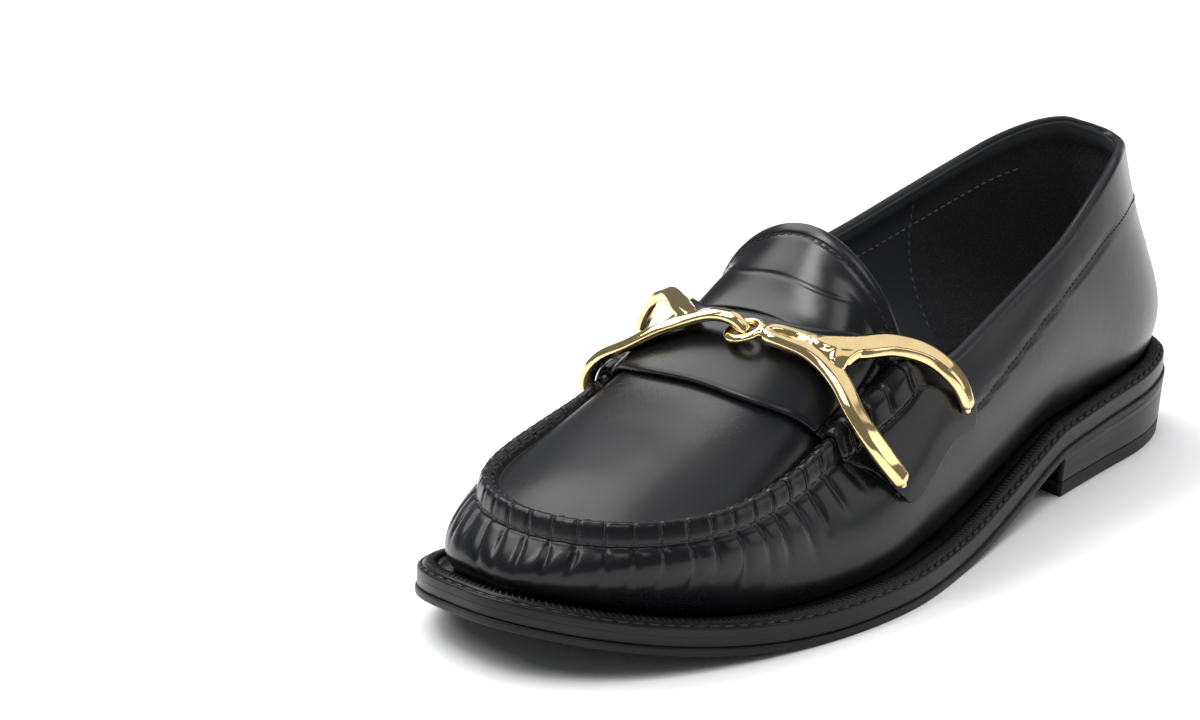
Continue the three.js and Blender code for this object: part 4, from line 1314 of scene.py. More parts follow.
@dataclass
class Tongue:
    """The tongue, with its stitched edge and the crease across its root."""

    end: float = 0.562
    turned: float = 0.0045
    inset: float = 1.3
    gap: float = 0.9
    lift: float = 1.4
    spread_outer: float = 4
    spread_inner: float = 2.6
    leather: float = 2.4
    stitch_inset: float = 3.2
    rows: int = 56
    columns: int = 120
    edge_round: float = 0.55
    crease_bow: float = 14.5
    crease_back: float = 8.5

    def surface(self, t: Array, across: Array) -> tuple[Array, Array]:
        """Points and normals of the tongue's upper face.

        Args:
            t: 0 at the throat and 1 at the free end.
            across: 0 on the inner side and 1 on the outer side.

        Returns:
            Both, over the arrays broadcast together.
        """
        t, across = np.broadcast_arrays(t, across)
        b = 2 * across - 1
        x = blend(LAST.throat - self.gap, (self.end - self.turned * b**4) * LAST.length, t)
        y = LAST.centre(x) + b * (LAST.apron_half(x) - self.inset)
        free = ease((t - 0.7) / 0.3)
        spread = b * np.where(b > 0, self.spread_outer, self.spread_inner)
        points = LAST.on_top(x, y)
        points[..., 1] += spread * free
        points[..., 2] += self.lift * free * b**2
        return points, LAST.top_normal(x, y)

    def build(self, repeater: Repeater) -> None:
        """Builds the tongue and sews its edge."""
        t = np.linspace(0, 1, self.rows)[:, None]
        across = np.linspace(0, 1, self.columns)[None, :]
        points, normals = self.surface(t, across)
        to_end = np.linalg.norm(np.diff(points, axis=0), axis=2)[::-1]
        to_end = np.vstack([np.zeros((1, self.columns)), np.cumsum(to_end, axis=0)])[::-1]
        sideways = np.linalg.norm(np.diff(points, axis=1), axis=2)
        left = np.concatenate([np.zeros((self.rows, 1)), np.cumsum(sideways, axis=1)], axis=1)
        right = left[:, -1:] - left
        from_edge = np.minimum(to_end, np.minimum(left, right))
        relief = -0.3 * groove(from_edge - self.stitch_inset, 0.5)
        relief += 0.25 * ease(from_edge / 1.5) - 0.25
        wide = 2 * across - 1
        crease = 0.574 * LAST.length + self.crease_bow * (1 - wide**4) - self.crease_back
        relief -= 0.22 * groove(points[..., 0] - crease, 0.32) * ease((0.85 - np.abs(wide)) / 0.3)
        upper = points + normals * relief[..., None]
        lower = points - normals * self.leather
        profile = [(0.12, 0.35), (0.35, self.edge_round), (0.65, self.edge_round), (0.88, 0.35)]
        flap = Mesher.slab("tongue_flap", upper, lower, profile)
        dress(flap, FINISHES.tongue)
        hand_in(flap, "black_leather", "tongue")
        ring = [self._row_at(to_end, k) for k in range(self.columns)]
        path = []
        facing = []
        for k, row in enumerate(ring):
            if min(left[int(row), k], right[int(row), k]) > self.stitch_inset:
                low = int(row)
                path.append(blend(upper[low, k], upper[min(low + 1, self.rows - 1), k], row - low))
                facing.append(normals[low, k])
        start = int(np.argmin(np.abs(left[-6] - self.stitch_inset)))
        stop = int(np.argmin(np.abs(right[-6] - self.stitch_inset)))
        rows = range(12, self.rows - 6)
        first = [upper[r, start] for r in rows]
        last = [upper[r, stop] for r in reversed(rows)]
        path = np.array(first + path + last)
        first_side = [normals[r, start] for r in rows]
        last_side = [normals[r, stop] for r in reversed(rows)]
        facing = np.array(first_side + facing + last_side)
        path = path + facing * 0.08
        line = repeater.run("tongue_stitches", path, facing, 2.5, (0.95, 0.26, 0.22), FINISHES.fine_thread)
        hand_in(line, "black_leather")

    def _row_at(self, to_end: Array, column: int) -> float:
        """The row that lies the stitches' inset from the tongue's end."""
        distances = to_end[::-1, column]
        return float(np.interp(self.stitch_inset, distances, np.arange(self.rows)[::-1]))


@dataclass
class Strap:
    """The strap over the instep, with the cells sewn over the rolled seam at both sides."""

    rear_outer: float = 0.568
    rear_inner: float = 0.58
    rear_bow: float = 0.05
    front_outer: float = 0.679
    front_inner: float = 0.686
    front_bow: float = 0.031
    fit: float = 0.5
    leather: float = 1.8
    lines: int = 64
    columns: int = 300
    roll_from: float = 4.2
    roll_to: float = 9.6

    END = Table(("line", "along", "height"), [
        (0, 0.49, 0.82), (0.1, 0.491, 0.73), (0.2, 0.498, 0.67), (0.35, 0.517, 0.66), (0.5, 0.54, 0.63),
        (0.62, 0.564, 0.56), (0.74, 0.588, 0.49), (0.84, 0.605, 0.46), (0.92, 0.618, 0.48),
        (0.97, 0.627, 0.55), (1, 0.63, 0.64),
    ])
    COLUMNS = (0.025, 0.045, 0.08, 0.13, 0.21, 0.31, 0.42, 0.5, 0.58, 0.69, 0.79, 0.87, 0.92, 0.955, 0.975)
    CELL_LINES = (0.09, 0.35, 0.6, 0.86)
    RIDGE = ((0, 0.2), (1, 0.55), (2, 0.9), (3, 1), (4, 1))

    def side_points(self, line: float, side: Side) -> tuple[Array, Array, Array]:
        """Points up one wall and over its seam.

        Args:
            line: 0 on the strap's rear edge and 1 on its front edge.
            side: Which side of the foot.

        Returns:
            The points, the directions to lift them in, and the seam's inner point.
        """
        outer = side is Side.OUTER
        rear, front = (self.rear_outer, self.front_outer) if outer else (self.rear_inner, self.front_inner)
        share = LAST.share_at(LAST.rim_point, blend(rear, front, line) * LAST.length, side)
        shift = 0 if outer else self.rear_inner - self.rear_outer
        along = (float(self.END.at("along", line)) + shift) * LAST.length
        stop = LAST.share_at(LAST.outline.at, along, side)
        g = np.array([1, 0.75, 0.5, 0.25, 0.08])
        at = blend(share, stop, g)
        up = blend(1, float(self.END.at("height", line)), g)
        walls = LAST.wall_point(at, up)
        cap = LAST.cap_points(np.array([share]))[0, 1:]
        out = LAST.rim.out(LAST.rim_share(np.array(share)))
        lean = [math.pi / 2 * rise for _, rise in self.RIDGE]
        lifts = [out * math.cos(a) + np.array([0, 0, math.sin(a)]) for a in lean]
        points = np.vstack([walls, cap[[k for k, _ in self.RIDGE]]])
        return points, np.vstack([LAST.wall_normal(at, up), lifts]), cap[-1]

    def control_rows(self) -> tuple[Array, Array]:
        """The upper and the lower face's control points, a row for each line of the strap."""
        highs = []
        lows = []
        for line in np.linspace(0, 1, self.lines):
            outer, outer_lift, outer_in = self.side_points(float(line), Side.OUTER)
            inner, inner_lift, inner_in = self.side_points(float(line), Side.INNER)
            bow = blend(self.rear_bow, self.front_bow, line) * LAST.length
            t = np.array(self.COLUMNS)
            plan = outer_in * (1 - t[:, None]) + inner_in * t[:, None]
            x = plan[:, 0] + bow * (1 - (2 * t - 1) ** 4)
            middle = LAST.on_top(x, plan[:, 1])
            middle[:, 2] += (2 * t - 1) ** 12 * self.fit
            lifts = np.vstack([outer_lift, LAST.top_normal(x, plan[:, 1]), inner_lift[::-1]])
            points = np.vstack([outer, middle, inner[::-1]])
            highs.append(points + lifts * (self.fit + self.leather))
            lows.append(points + lifts * self.fit)
        return np.array(highs), np.array(lows)

    def build(self, repeater: Repeater) -> None:
        """Builds the strap and sews it."""
        highs, lows = self.control_rows()
        upper, place = smooth_rows(highs, self.columns)
        lower, _ = smooth_rows(lows, self.columns)
        lines = np.linspace(0, 1, self.lines)
        last = highs.shape[1] - 1
        mirrored = np.minimum(place, last - place)
        on_roll = ease((mirrored - self.roll_from) / 0.6) * ease((self.roll_to + 0.3 - mirrored) / 0.8)
        relief = np.zeros(upper.shape[:2])
        width = 32.0
        for mark in self.CELL_LINES:
            relief -= 0.55 * groove((lines[:, None] - mark) * width, 0.6) * on_roll[None, :]
        phase = np.interp(lines, self.CELL_LINES, range(len(self.CELL_LINES)))
        swell = np.abs(np.sin(phase * math.pi)) * ease((lines - self.CELL_LINES[0]) / 0.02)
        relief += 0.4 * swell[:, None] * on_roll[None, :]
        relief -= 0.6 * groove(mirrored - self.roll_from, 0.28)[None, :]
        relief -= 0.45 * groove(mirrored - self.roll_to, 0.2)[None, :]
        rim_soft = np.minimum(lines, 1 - lines) * width
        relief += (0.3 * ease(rim_soft / 1.2) - 0.3)[:, None]
        normals = grid_normals(upper, False)
        if normals[self.lines // 2, self.columns // 2, 2] < 0:
            normals = -normals
        self.normals = normals
        upper = upper + normals * relief[..., None]
        profile = [(0.12, 0.3), (0.35, 0.45), (0.65, 0.45), (0.88, 0.3)]
        thing = Mesher.slab("saddle_strap", upper, lower, profile)
        dress(thing, FINISHES.polished)
        hand_in(thing, "black_leather", "strap")
        self.sew(repeater, upper, place, last)

    def sew(self, repeater: Repeater, upper: Array, place: Array, last: int) -> None:
        """Sews both lines beside each roll and the lines across it.

        Args:
            repeater: What lays the stitches.
            upper: The strap's upper face.
            place: Where each column lies among the control points.
            last: The last control point.
        """
        rows = np.arange(int(0.08 * self.lines), int(0.97 * self.lines))
        for side in Side:
            for label, at in (("outer", self.roll_from), ("inner", self.roll_to)):
                where = at if side is Side.OUTER else last - at
                column = int(np.argmin(np.abs(place - where)))
                path = upper[rows, column] + self.normals[rows, column] * 0.12
                name = f"strap_stitches_{label}_{side.name.lower()}"
                thing = repeater.run(
                    name, path, self.normals[rows, column], 3.9, (1.5, 0.32, 0.28), FINISHES.thread
                )
                hand_in(thing, "black_leather")
            for n, mark in enumerate(self.CELL_LINES):
                row = int(mark * (self.lines - 1))
                span = (self.roll_from, self.roll_to)
                if side is Side.INNER:
                    span = (last - self.roll_to, last - self.roll_from)
                columns = np.nonzero((place > span[0]) & (place < span[1]))[0]
                path = upper[row, columns] + self.normals[row, columns] * 0.05
                name = f"strap_thread_{n}_{side.name.lower()}"
                thing = repeater.run(
                    name, path, self.normals[row, columns], 0.8, (0.6, 0.26, 0.24), FINISHES.thread
                )
                hand_in(thing, "black_leather")


@dataclass
class SoleStack:
    """Welt, midsole, outsole, heel, top lift and insole."""

    lip: float = 0.5
    welt_width: float = 17
    bead_start: float = 1.3
    bead_width: float = 4.2
    bead_height: float = 1.5
    rib_pitch: float = 1.75
    rib_slant: float = 0.35
    insole: float = 3.2
    heel_taper: float = 1.2
    heel_seat: float = 0.5
    breast_bow: float = 5
    top_lift: float = 4.5
    lines: int = 220
    toe_tip: float = 0.474

    def plate(self, edge: Callable[[Array], Array], base: float, thickness: float) -> tuple[Array, Array]:
        """Upper and lower grids of a layer of the sole.

        Args:
            edge: The layer's outline by share.
            base: Its height over the sole's underside.
            thickness: Its thickness.

        Returns:
            The two grids, in lines from the heel to the toe.
        """
        t = np.linspace(0, 1, self.lines)
        bend = t - np.sin(2 * math.pi * t) * 0.1
        outer = edge(self.toe_tip * bend)
        inner = edge(1 - (1 - self.toe_tip) * bend)
        across = np.linspace(0, 1, 24)[None, :, None]
        plan = outer[:, None] * (1 - across) + inner[:, None] * across
        self.rims = (
            LAST.outline.out(self.toe_tip * bend),
            LAST.outline.out(1 - (1 - self.toe_tip) * bend),
        )
        lower = plan.copy()
        lower[..., 2] = LAST.bottom(plan[..., 0]) + base
        upper = lower.copy()
        upper[..., 2] += thickness
        return upper, lower

    def build(self, repeater: Repeater) -> None:
        """Builds every layer."""
        seam = 0.04
        upper, lower = self.plate(lambda s: LAST.inset(s, -self.lip + 0.25), 0, LAST.outsole)
        rounding = [(0.08, 0.2), (0.25, 0.25), (0.75, 0.25), (0.95, 0.12)]
        sole = Mesher.slab("outsole_layer", upper, lower, rounding, self.rims)
        dress(sole, FINISHES.outsole)
        hand_in(sole, "sole_leather", "outsole")
        base = LAST.outsole + seam
        upper, lower = self.plate(lambda s: LAST.inset(s, 0.3), base, LAST.welt_base - base)
        rounding = [(0.0, 0.3), (0.03, 0.3), (0.84, 0.3), (0.97, 0.1)]
        middle = Mesher.slab("midsole_layer", upper, lower, rounding, self.rims)
        dress(middle, FINISHES.edge)
        hand_in(middle, "sole_leather", "midsole")
        self.build_welt(repeater)
        self.build_heel()
        edge_in = lambda s: LAST.inset(
            s, LAST.WALL.at("inset", np.mod(s, 1.0)) * LAST.wall_pull + LAST.leather + 2 * LAST.fit + 0.3
        )
        upper, lower = self.plate(edge_in, LAST.sole_edge + LAST.fit, self.insole)
        sock = Mesher.slab("insole_sock", upper, lower, [(0.1, 0.2), (0.3, 0.3), (0.8, 0.3)], self.rims)
        dress(sock, FINISHES.sock)
        hand_in(sock, "lining_leather", "insole")

    def build_welt(self, repeater: Repeater) -> None:
        """Builds the welt with its ribbed bead and the stitches in the groove beside it."""
        w = LAST.welt
        start, wide, high = self.bead_start, self.bead_width, self.bead_height
        section = [
            (0.0, -0.02), (0.0, 0.06), (0.0, w - 0.7), (0.08, w - 0.35),
            (0.3, w - 0.08), (0.6, w), (start - 0.25, w),
        ]
        section += [(start, w - 0.25)]
        for turn in np.linspace(0.08, 0.92, 9):
            angle = math.pi * (1 - turn)
            section.append((start + wide / 2 * (1 + math.cos(angle)), w + high * math.sin(angle) ** 0.8))
        section += [(start + wide + 0.1, w - 0.3), (start + wide + 0.8, w), (self.welt_width, w)]
        section += [(self.welt_width, -0.02)]
        count = 900
        shares = np.arange(count) / count
        rows = np.array(section)
        grid = LAST.inset(shares[:, None], rows[None, :, 0])
        grid[..., 2] = LAST.bottom(grid[..., 0]) + LAST.welt_base + rows[None, :, 1]
        ring = Mesher.ring("welt_ring", grid)
        dress(ring, FINISHES.edge)
        hand_in(ring, "welt_leather", "welt")
        out = LAST.outline.out(shares)
        along = np.stack([-out[:, 1], out[:, 0], 0 * out[:, 0]], axis=1)
        heading = out + along * self.rib_slant
        path = LAST.inset(shares, start + wide / 2)
        path[:, 2] = LAST.bottom(path[:, 0]) + LAST.welt_base + w + high * 0.5
        up = np.tile((0.0, 0.0, 1.0), (count, 1))
        ribs = repeater.run(
            "welt_ribs", path, up, self.rib_pitch, (wide * 0.52, 0.62, high * 0.72), FINISHES.welt,
            heading=heading, closed=True, jitter=0.04,
        )
        hand_in(ribs, "welt_leather")
        path = LAST.inset(shares, start - 0.35)
        path[:, 2] = LAST.bottom(path[:, 0]) + LAST.welt_base + w + 0.12
        thread = repeater.run(
            "welt_stitches", path, up, 4.2, (1.75, 0.42, 0.4), FINISHES.thread, closed=True
        )
        hand_in(thread, "welt_leather")

    def heel_block(
        self, low: Callable[[Array], Array], high: Callable[[Array], Array]
    ) -> tuple[Array, Array]:
        """Upper and lower grids of a block of the heel between two heights."""
        front = [LAST.share_at(LAST.outline.at, LAST.heel_length, side) for side in Side]
        t = np.linspace(0, 1, 90)
        reach = np.sin(t * math.pi / 2) ** 1.15
        ends = [LAST.inset(front[0] * reach, 0.3), LAST.inset(1 - (1 - front[1]) * reach, 0.3)]
        across = np.linspace(0, 1, 30)[None, :, None]
        rows = ends[0][:, None] * (1 - across) + ends[1][:, None] * across
        bow = self.breast_bow * (reach**6)[:, None]
        rows[..., 0] -= bow * (1 - (2 * across[..., 0] - 1) ** 2)
        middle = rows[-1].mean(axis=0)
        half = (rows[-1, 0, 1] - rows[-1, -1, 1]) / 2
        self.rims = (LAST.outline.out(front[0] * reach), LAST.outline.out(1 - (1 - front[1]) * reach))
        grids = []
        for height in (high, low):
            z = height(rows[..., 0])
            inwards = self.heel_taper * (1 - z / LAST.heel_height)
            y = middle[1] + (rows[..., 1] - middle[1]) * (1 - inwards / half)
            x = LAST.heel_length - (LAST.heel_length - rows[..., 0]) * (1 - inwards / LAST.heel_length)
            grids.append(np.stack([x, y, z], axis=-1))
        return grids[0], grids[1]

    def build_heel(self) -> None:
        """Builds the heel, with its stack lines, and the top lift under it."""
        lift = self.top_lift
        upper, lower = self.heel_block(
            lambda x: 0 * x + lift + 0.05, lambda x: LAST.bottom(x) - 0.05
        )
        sides = [(0.02, 0.2), (0.05, 0.3), (0.19, 0.3), (0.2, 0.22), (0.21, 0.3), (0.97, 0.3), (0.99, 0.22)]
        heel = Mesher.slab("heel_stack", upper, lower, sides, self.rims)
        dress(heel, FINISHES.edge)
        hand_in(heel, "sole_leather", "heel")
        upper, lower = self.heel_block(lambda x: 0 * x, lambda x: 0 * x + lift)
        sides = [(0.03, 0.25), (0.1, 0.42), (0.9, 0.42), (0.98, 0.25)]
        foot = Mesher.slab("top_lift_block", upper, lower, sides, self.rims)
        dress(foot, FINISHES.rubber)
        hand_in(foot, "heel_rubber", "top_lift")


@dataclass
class BackStrip:
    """The grained strip up the middle of the heel."""

    top: float = 0.8
    bottom: float = 0.1
    foot: float = 0.03
    head: float = 0.007
    leather: float = 1.3

    def build(self) -> None:
        """Builds the strip, with its cut edge a little uneven."""
        t = np.linspace(0, 1, 70)[:, None]
        across = np.linspace(0, 1, 40)[None, :]
        up = blend(self.bottom, self.top, t) + 0 * across
        ragged = 1 + 0.012 * np.sin(t * 61) + 0.01 * np.sin(t * 97 + 1)
        share = (2 * across - 1) * blend(self.foot, self.head, t) * ragged
        points = LAST.wall_point(share, up)
        normals = LAST.wall_normal(share, up)
        bevel = ease((1 - np.abs(2 * across - 1)) / 0.12) * ease((1 - t) / 0.05)
        upper = points + normals * (LAST.fit + self.leather * (0.35 + 0.65 * bevel))[..., None]
        lower = points + normals * LAST.fit * 0.3
        strip = Mesher.slab("heel_strip", upper, lower, [(0.3, 0.15), (0.8, 0.15)])
        dress(strip, FINISHES.grained)
        hand_in(strip, "grained_leather", "back_strip")


@dataclass
class Bars:
    """The two forked gold bars, hooked together over the strap, on their posts."""

    width: float = 5
    thickness: float = 2.8
    hub: float = 0.42
    post_radius: float = 1.4
    voxel: float = 0.21
    fullness: float = 1.0
    ring_long: float = 4.7
    ring_wide: float = 3.4
    ring_wire: float = 1.1
    ring_tilt: float = 0.17
    ring_fall: float = 0.45

    SECTION = (
        (-0.5, -0.25), (-0.3, -0.5), (0.3, -0.5), (0.5, -0.25),
        (0.5, 0.1), (0.3, 0.5), (-0.3, 0.5), (-0.5, 0.1),
    )
    LINK = (0.6648, 0.012, 0.955)
    OUTER_REAR = (
        (0.66, 0.0627, 0.966, 0.5), (0.6517, 0.092, 0.966, 0.52), (0.6455, 0.135, 0.955, 0.58),
        (0.6414, 0.184, 0.944, 0.9), (0.6362, 0.227, 0.934, 1.25), (0.6138, 0.264, 0.916, 1.3),
        (0.5759, 0.3, 0.897, 1.25), (0.5414, 0.35, 0.829, 1.2), (0.5234, 0.404, 0.717, 1.05),
        (0.5159, 0.429, 0.591, 0.65),
    )
    OUTER_FRONT = (
        (0.66, 0.0627, 0.966, 0.5), (0.6641, 0.092, 0.953, 0.56), (0.6614, 0.14, 0.938, 0.62),
        (0.6545, 0.193, 0.919, 1.05), (0.651, 0.246, 0.878, 1.35), (0.6538, 0.304, 0.809, 1.3),
        (0.6579, 0.363, 0.698, 1.25), (0.6497, 0.421, 0.566, 1.2), (0.629, 0.456, 0.417, 0.95),
    )
    WEB_REAR = (
        (0.6414, 0.184, 0.944), (0.6388, 0.205, 0.939), (0.6362, 0.227, 0.934), (0.625, 0.246, 0.925),
    )
    WEB_FRONT = ((0.6545, 0.193, 0.919), (0.6525, 0.22, 0.899), (0.651, 0.246, 0.878), (0.651, 0.262, 0.862))
    OUTER_CROTCH = (
        (0.6115, 0.27, 0.914, 0.9), (0.6245, 0.262, 0.91, 1.1), (0.6375, 0.261, 0.897, 1.2),
        (0.6485, 0.272, 0.862, 0.9),
    )
    INNER_FRONT = (
        (0.6655, 0.014, 0.927, 0.4), (0.6652, 0.012, 0.956, 0.45), (0.6652, -0.008, 0.986, 0.55),
        (0.6648, -0.041, 0.998, 0.7), (0.6655, -0.087, 0.992, 0.9), (0.669, -0.159, 0.948, 1.1),
        (0.6793, -0.227, 0.894, 1.1), (0.6907, -0.307, 0.809, 1.02), (0.6966, -0.381, 0.738, 0.95),
        (0.6966, -0.427, 0.653, 0.88), (0.6931, -0.444, 0.559, 0.62),
    )
    INNER_REAR = (
        (0.6676, -0.147, 0.956, 0.9), (0.6552, -0.208, 0.964, 1), (0.6397, -0.266, 0.966, 1),
        (0.6234, -0.329, 0.955, 0.95), (0.6145, -0.385, 0.909, 0.88), (0.609, -0.433, 0.82, 0.82),
        (0.6055, -0.464, 0.727, 0.6),
    )

    def web(self) -> tuple[Array, list]:
        """The saddle between the outer bar's two arms, level with both of their tops.

        Returns:
            Its points and its faces.
        """
        rear, front = (
            open_curve(np.array([LAST.shoe_point(*row) for row in rows]), 24)
            for rows in (self.WEB_REAR, self.WEB_FRONT)
        )
        across = np.linspace(0, 1, 20)[None, :, None]
        middle = rear[:, None] * (1 - across) + front[:, None] * across
        normal = unit(np.cross(np.gradient(middle, axis=0), np.gradient(middle, axis=1)))
        normal = normal * np.sign(normal[..., 2:])
        half = (self.thickness + self.fullness / 2) / 2
        rings = np.concatenate([middle + normal * half, (middle - normal * half)[:, ::-1]], axis=1)
        count, corners = rings.shape[:2]
        faces = Mesher.quads(count, corners, False, True).tolist()
        faces.append(list(range(corners)))
        faces.append([(count - 1) * corners + k for k in reversed(range(corners))])
        return rings.reshape(-1, 3), faces

    def sweep(self, rows: Sequence[Sequence[float]], samples: int = 14) -> tuple[Array, list]:
        """A bar along its middle line, flat on top with bevels.

        Args:
            rows: Shares along, sideways and up, and the width as a share.
            samples: Samples between two rows.

        Returns:
            Its points and its faces.
        """
        points = np.array([[*LAST.shoe_point(*row[:3]), row[3]] for row in rows])
        line = open_curve(points, (len(rows) - 1) * samples + 1)
        middle, wide = line[:, :3], line[:, 3] * self.width + self.fullness
        along = unit(np.gradient(middle, axis=0))
        away = np.stack([
            0 * middle[:, 0], middle[:, 1] - LAST.centre(middle[:, 0]),
            middle[:, 2] - self.hub * LAST.instep_height,
        ], axis=1)
        up = unit(away - along * np.sum(away * along, axis=1, keepdims=True))
        side = np.cross(along, up)
        run = np.r_[0, np.cumsum(np.linalg.norm(np.diff(middle, axis=0), axis=1))]
        near_end = np.minimum(run, run[-1] - run)
        taper = np.sqrt(np.clip(1 - (1 - np.clip(near_end / 1.9, 0, 1)) ** 2, 0.08, 1))
        thick = np.minimum(self.thickness + self.fullness / 2, wide)
        rings = np.stack([
            middle + side * (a * wide * taper)[:, None] + up * (b * thick * (0.5 + 0.5 * taper))[:, None]
            for a, b in self.SECTION
        ], axis=1)
        count, corners = rings.shape[:2]
        faces = Mesher.quads(count, corners, False, True).tolist()
        faces.append(list(range(corners)))
        faces.append([(count - 1) * corners + k for k in reversed(range(corners))])
        return rings.reshape(-1, 3), faces

    def ring(self) -> tuple[Array, list]:
        """The eye at the outer bar's end, which the inner bar hooks into."""
        centre = LAST.shoe_point(*self.LINK)
        turn = np.linspace(0, 2 * math.pi, 48, endpoint=False)[:, None]
        about = np.linspace(0, 2 * math.pi, 14, endpoint=False)[None, :]
        reach = 1 + self.ring_wire / self.ring_wide * np.cos(about) * 0.95
        ahead = np.cos(turn) * self.ring_wide * reach
        aside = np.sin(turn) * self.ring_long * reach
        up = aside * self.ring_tilt - ahead * self.ring_fall + self.ring_wire * np.sin(about)
        points = centre + np.stack([ahead, aside, up], axis=-1)
        return points.reshape(-1, 3), Mesher.quads(48, 14, True, True).tolist()

    def post(self, tip: Sequence[float], side: Side, low: float, high: float) -> tuple[Array, list]:
        """A post from a bar's tip straight in to the strap.

        Args:
            tip: The last row of the bar.
            side: Which side of the foot; not used.
            low: Share of the way round where the search for the nearest leather starts.
            high: Share where it ends.

        Returns:
            Its points and its faces.
        """
        top = LAST.shoe_point(*tip[:3])
        share, up = np.meshgrid(np.linspace(low, high, 90), np.linspace(0, 1, 40), indexing="ij")
        wall = LAST.wall_point(share, up)
        best = np.unravel_index(np.argmin(np.linalg.norm(wall - top, axis=2)), share.shape)
        foot = wall[best] + LAST.wall_normal(share[best], up[best]) * 2.4
        axis = unit(top - foot)
        u = unit(np.cross(axis, (0.3, 0.8, 0.5)))
        v = np.cross(axis, u)
        angle = np.linspace(0, 2 * math.pi, 20, endpoint=False)[None, :, None]
        span = np.linspace(0, 1, 8)[:, None, None]
        rings = foot * (1 - span) + top * span + self.post_radius * (u * np.cos(angle) + v * np.sin(angle))
        faces = Mesher.quads(8, 20, False, True).tolist()
        faces.append(list(range(20)))
        faces.append([7 * 20 + k for k in reversed(range(20))])
        return rings.reshape(-1, 3), faces

    def fuse(self, name: str, parts: Sequence[tuple[Array, list]], node: str) -> None:
        """Joins closed forms into one smooth body.

        Args:
            name: The object's name.
            parts: Points and faces of each form.
            node: The solid that it replaces.
        """
        points = []
        faces = []
        for part, sides in parts:
            work = bmesh.new()
            corners = [work.verts.new(p) for p in part]
            for side in sides:
                work.faces.new([corners[k] for k in side])
            bmesh.ops.recalc_face_normals(work, faces=work.faces)
            if work.calc_volume(signed=True) < 0:
                bmesh.ops.reverse_faces(work, faces=work.faces)
            work.verts.index_update()
            faces += [[v.index + len(points) for v in face.verts] for face in work.faces]
            points += [tuple(v.co) for v in work.verts]
            work.free()
        mesh = bpy.data.meshes.new(name + "_rough")
        mesh.from_pydata(Mesher.place(np.array(points)).tolist(), [], faces)
        rough = bpy.data.objects.new(name + "_rough", mesh)
        bpy.context.scene.collection.objects.link(rough)
        remesh = rough.modifiers.new("fuse", "REMESH")
        remesh.mode = "VOXEL"
        remesh.voxel_size = self.voxel * MM
        soften = rough.modifiers.new("soften", "SMOOTH")
        soften.factor = 0.5
        soften.iterations = 26
        graph = bpy.context.evaluated_depsgraph_get()
        made = bpy.data.meshes.new_from_object(rough.evaluated_get(graph), depsgraph=graph)
        bpy.data.objects.remove(rough)
        made.polygons.foreach_set("use_smooth", [True] * len(made.polygons))
        thing = bpy.data.objects.new(name, made)
        bpy.context.scene.collection.objects.link(thing)
        dress(thing, FINISHES.gold)
        hand_in(thing, "gold_metal", node)

    def build(self) -> None:
        """Builds both bars."""
        outer = [self.sweep(self.OUTER_REAR), self.sweep(self.OUTER_FRONT)]
        outer += [self.web(), self.sweep(self.OUTER_CROTCH)]
        outer += [self.ring()]
        outer += [self.post(rows[-1], Side.OUTER, 0.12, 0.4) for rows in (self.OUTER_REAR, self.OUTER_FRONT)]
        self.fuse("forked_bar_outer", outer, "bar_outer")
        inner = [self.sweep(self.INNER_FRONT), self.sweep(self.INNER_REAR)]
        inner += [self.post(rows[-1], Side.INNER, 0.6, 0.9) for rows in (self.INNER_FRONT, self.INNER_REAR)]
        self.fuse("forked_bar_inner", inner, "bar_inner")


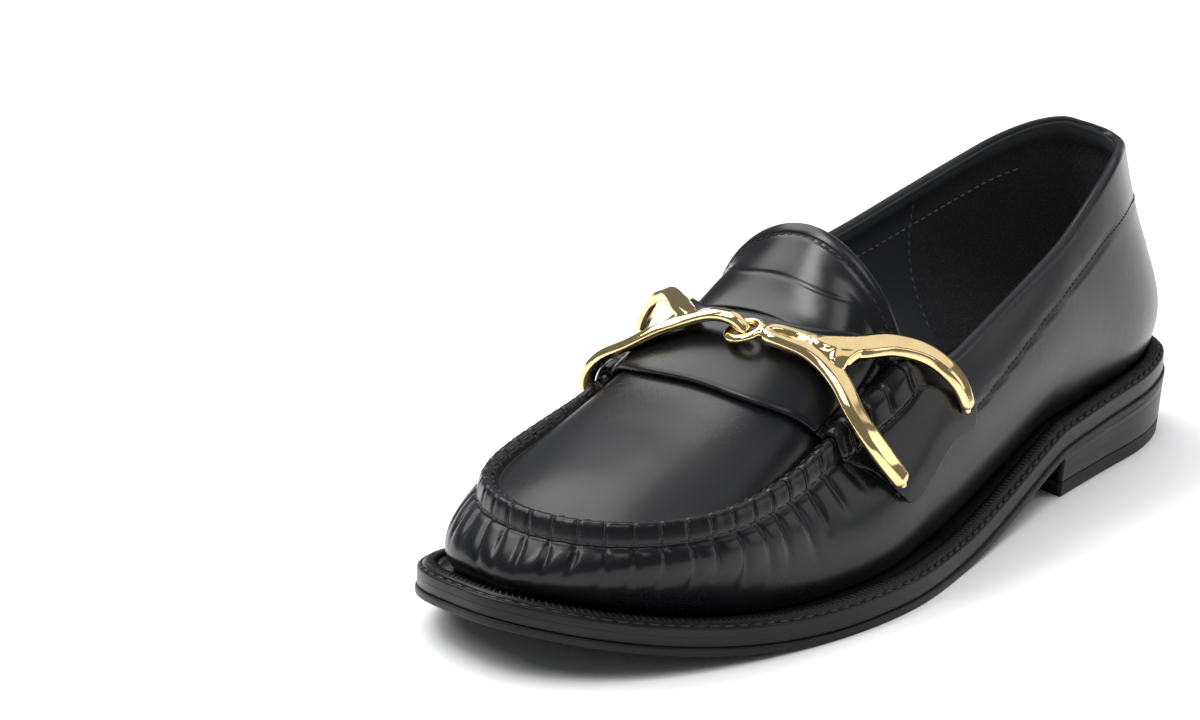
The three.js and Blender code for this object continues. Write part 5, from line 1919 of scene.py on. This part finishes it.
@dataclass
class Studio:
    """The floor, the lights and the camera, in metres."""

    azimuth: float = 129.798
    elevation: float = 18.107
    roll: float = 0.706
    place: tuple[float, float, float] = (0.81649, 0.59268, 0.3771)
    focal_px: float = 3859.1
    frame_px: float = 1200
    sensor_mm: float = 36

    def camera(self) -> None:
        """Sets the camera at the photograph's angle."""
        data = bpy.data.cameras.new("camera")
        data.sensor_width = self.sensor_mm
        data.lens = self.focal_px * self.sensor_mm / self.frame_px
        data.clip_start = 0.05
        data.clip_end = 50
        azimuth, elevation, roll = (math.radians(a) for a in (self.azimuth, self.elevation, self.roll))
        back = Vector((
            math.sin(azimuth) * math.cos(elevation),
            -math.cos(azimuth) * math.cos(elevation),
            math.sin(elevation),
        ))
        right = Vector((math.cos(azimuth), math.sin(azimuth), 0))
        up = right.cross(-back)
        across = right * math.cos(roll) + up * math.sin(roll)
        high = up * math.cos(roll) - right * math.sin(roll)
        thing = bpy.data.objects.new("camera", data)
        turn = Matrix((across, high, back)).transposed().to_4x4()
        thing.matrix_world = Matrix.Translation(self.place) @ turn
        bpy.context.scene.collection.objects.link(thing)
        bpy.context.scene.camera = thing

    def floor(self) -> None:
        """Lays a plain pale floor."""
        mesh = bpy.data.meshes.new("floor")
        reach = 4.0
        corners = [(-reach, -reach, 0), (reach, -reach, 0), (reach, reach, 0), (-reach, reach, 0)]
        mesh.from_pydata(corners, [], [(0, 1, 2, 3)])
        thing = bpy.data.objects.new("floor", mesh)
        bpy.context.scene.collection.objects.link(thing)
        graph = Graph("pale_floor")
        cloud = graph.noise(3, 2)
        graph.set(Base_Color=graph.shade(cloud, (0.86, 0.86, 0.865), (0.88, 0.88, 0.885)), Roughness=0.9)
        graph.set(Specular_IOR_Level=0.1)
        mesh.materials.append(graph.material)

    def softbox(
        self, name: str, place: Sequence[float], aim: Sequence[float], size: tuple[float, float],
        watts: float, mirrored: bool = True,
    ) -> None:
        """Hangs one soft rectangular light.

        Args:
            name: Its name.
            place: Where it hangs.
            aim: Where it points.
            size: Its two sides.
            watts: Its power.
            mirrored: Whether glossy surfaces show it.
        """
        data = bpy.data.lights.new(name, "AREA")
        data.shape = "RECTANGLE"
        data.size, data.size_y = size
        data.energy = watts
        thing = bpy.data.objects.new(name, data)
        thing.visible_glossy = mirrored
        way = Vector(aim) - Vector(place)
        thing.matrix_world = Matrix.Translation(place) @ way.to_track_quat("-Z", "Y").to_matrix().to_4x4()
        bpy.context.scene.collection.objects.link(thing)

    def lights(self) -> None:
        """Lights the floor and shapes the leather's soft reflections."""
        world = bpy.data.worlds.new("studio")
        world.use_nodes = True
        sky = world.node_tree.nodes["Background"]
        sky.inputs["Color"].default_value = (0.95, 0.97, 1.0, 1)
        sky.inputs["Strength"].default_value = 0.2
        bpy.context.scene.world = world
        self.softbox("inner_key", (0.1, -0.85, 1.22), (0.02, 0, 0.03), (1.5, 0.95), 17)
        self.softbox("overhead", (-0.4, -0.3, 2.3), (-0.3, -0.2, 0), (3.6, 3.6), 66, mirrored=False)
        self.softbox("rear_card", (-0.95, 0.0, 1.3), (0, 0, 0.05), (1.9, 1.2), 5.5)
        self.softbox("front", (0.65, 0.5, 1.3), (0.05, 0, 0.03), (0.6, 0.6), 3)
        self.softbox("tongue_glow", (0.85, -0.42, 1.1), (0.03, 0.0, 0.08), (0.22, 0.7), 6)
        self.softbox("outer_rear", (-0.95, 1.25, 0.5), (-0.05, 0.03, 0.04), (1.0, 0.7), 3)

    def build(self) -> None:
        """Sets up the whole studio."""
        view = bpy.context.scene.view_settings
        view.view_transform = "Standard"
        view.look = "None"
        self.camera()
        self.floor()
        self.lights()


def main() -> None:
    """Builds the studio and the shoe, piece by piece."""
    logging.basicConfig(level=logging.INFO, format="%(name)s: %(message)s")
    Studio().build()
    repeater = Repeater()
    upper = Upper()
    hand_in(upper.build(), "black_leather", "upper")
    upper.stitches(repeater)
    Tongue().build(repeater)
    Strap().build(repeater)
    BackStrip().build()
    SoleStack().build(repeater)
    Bars().build()


if __name__ == "__main__":
    main()
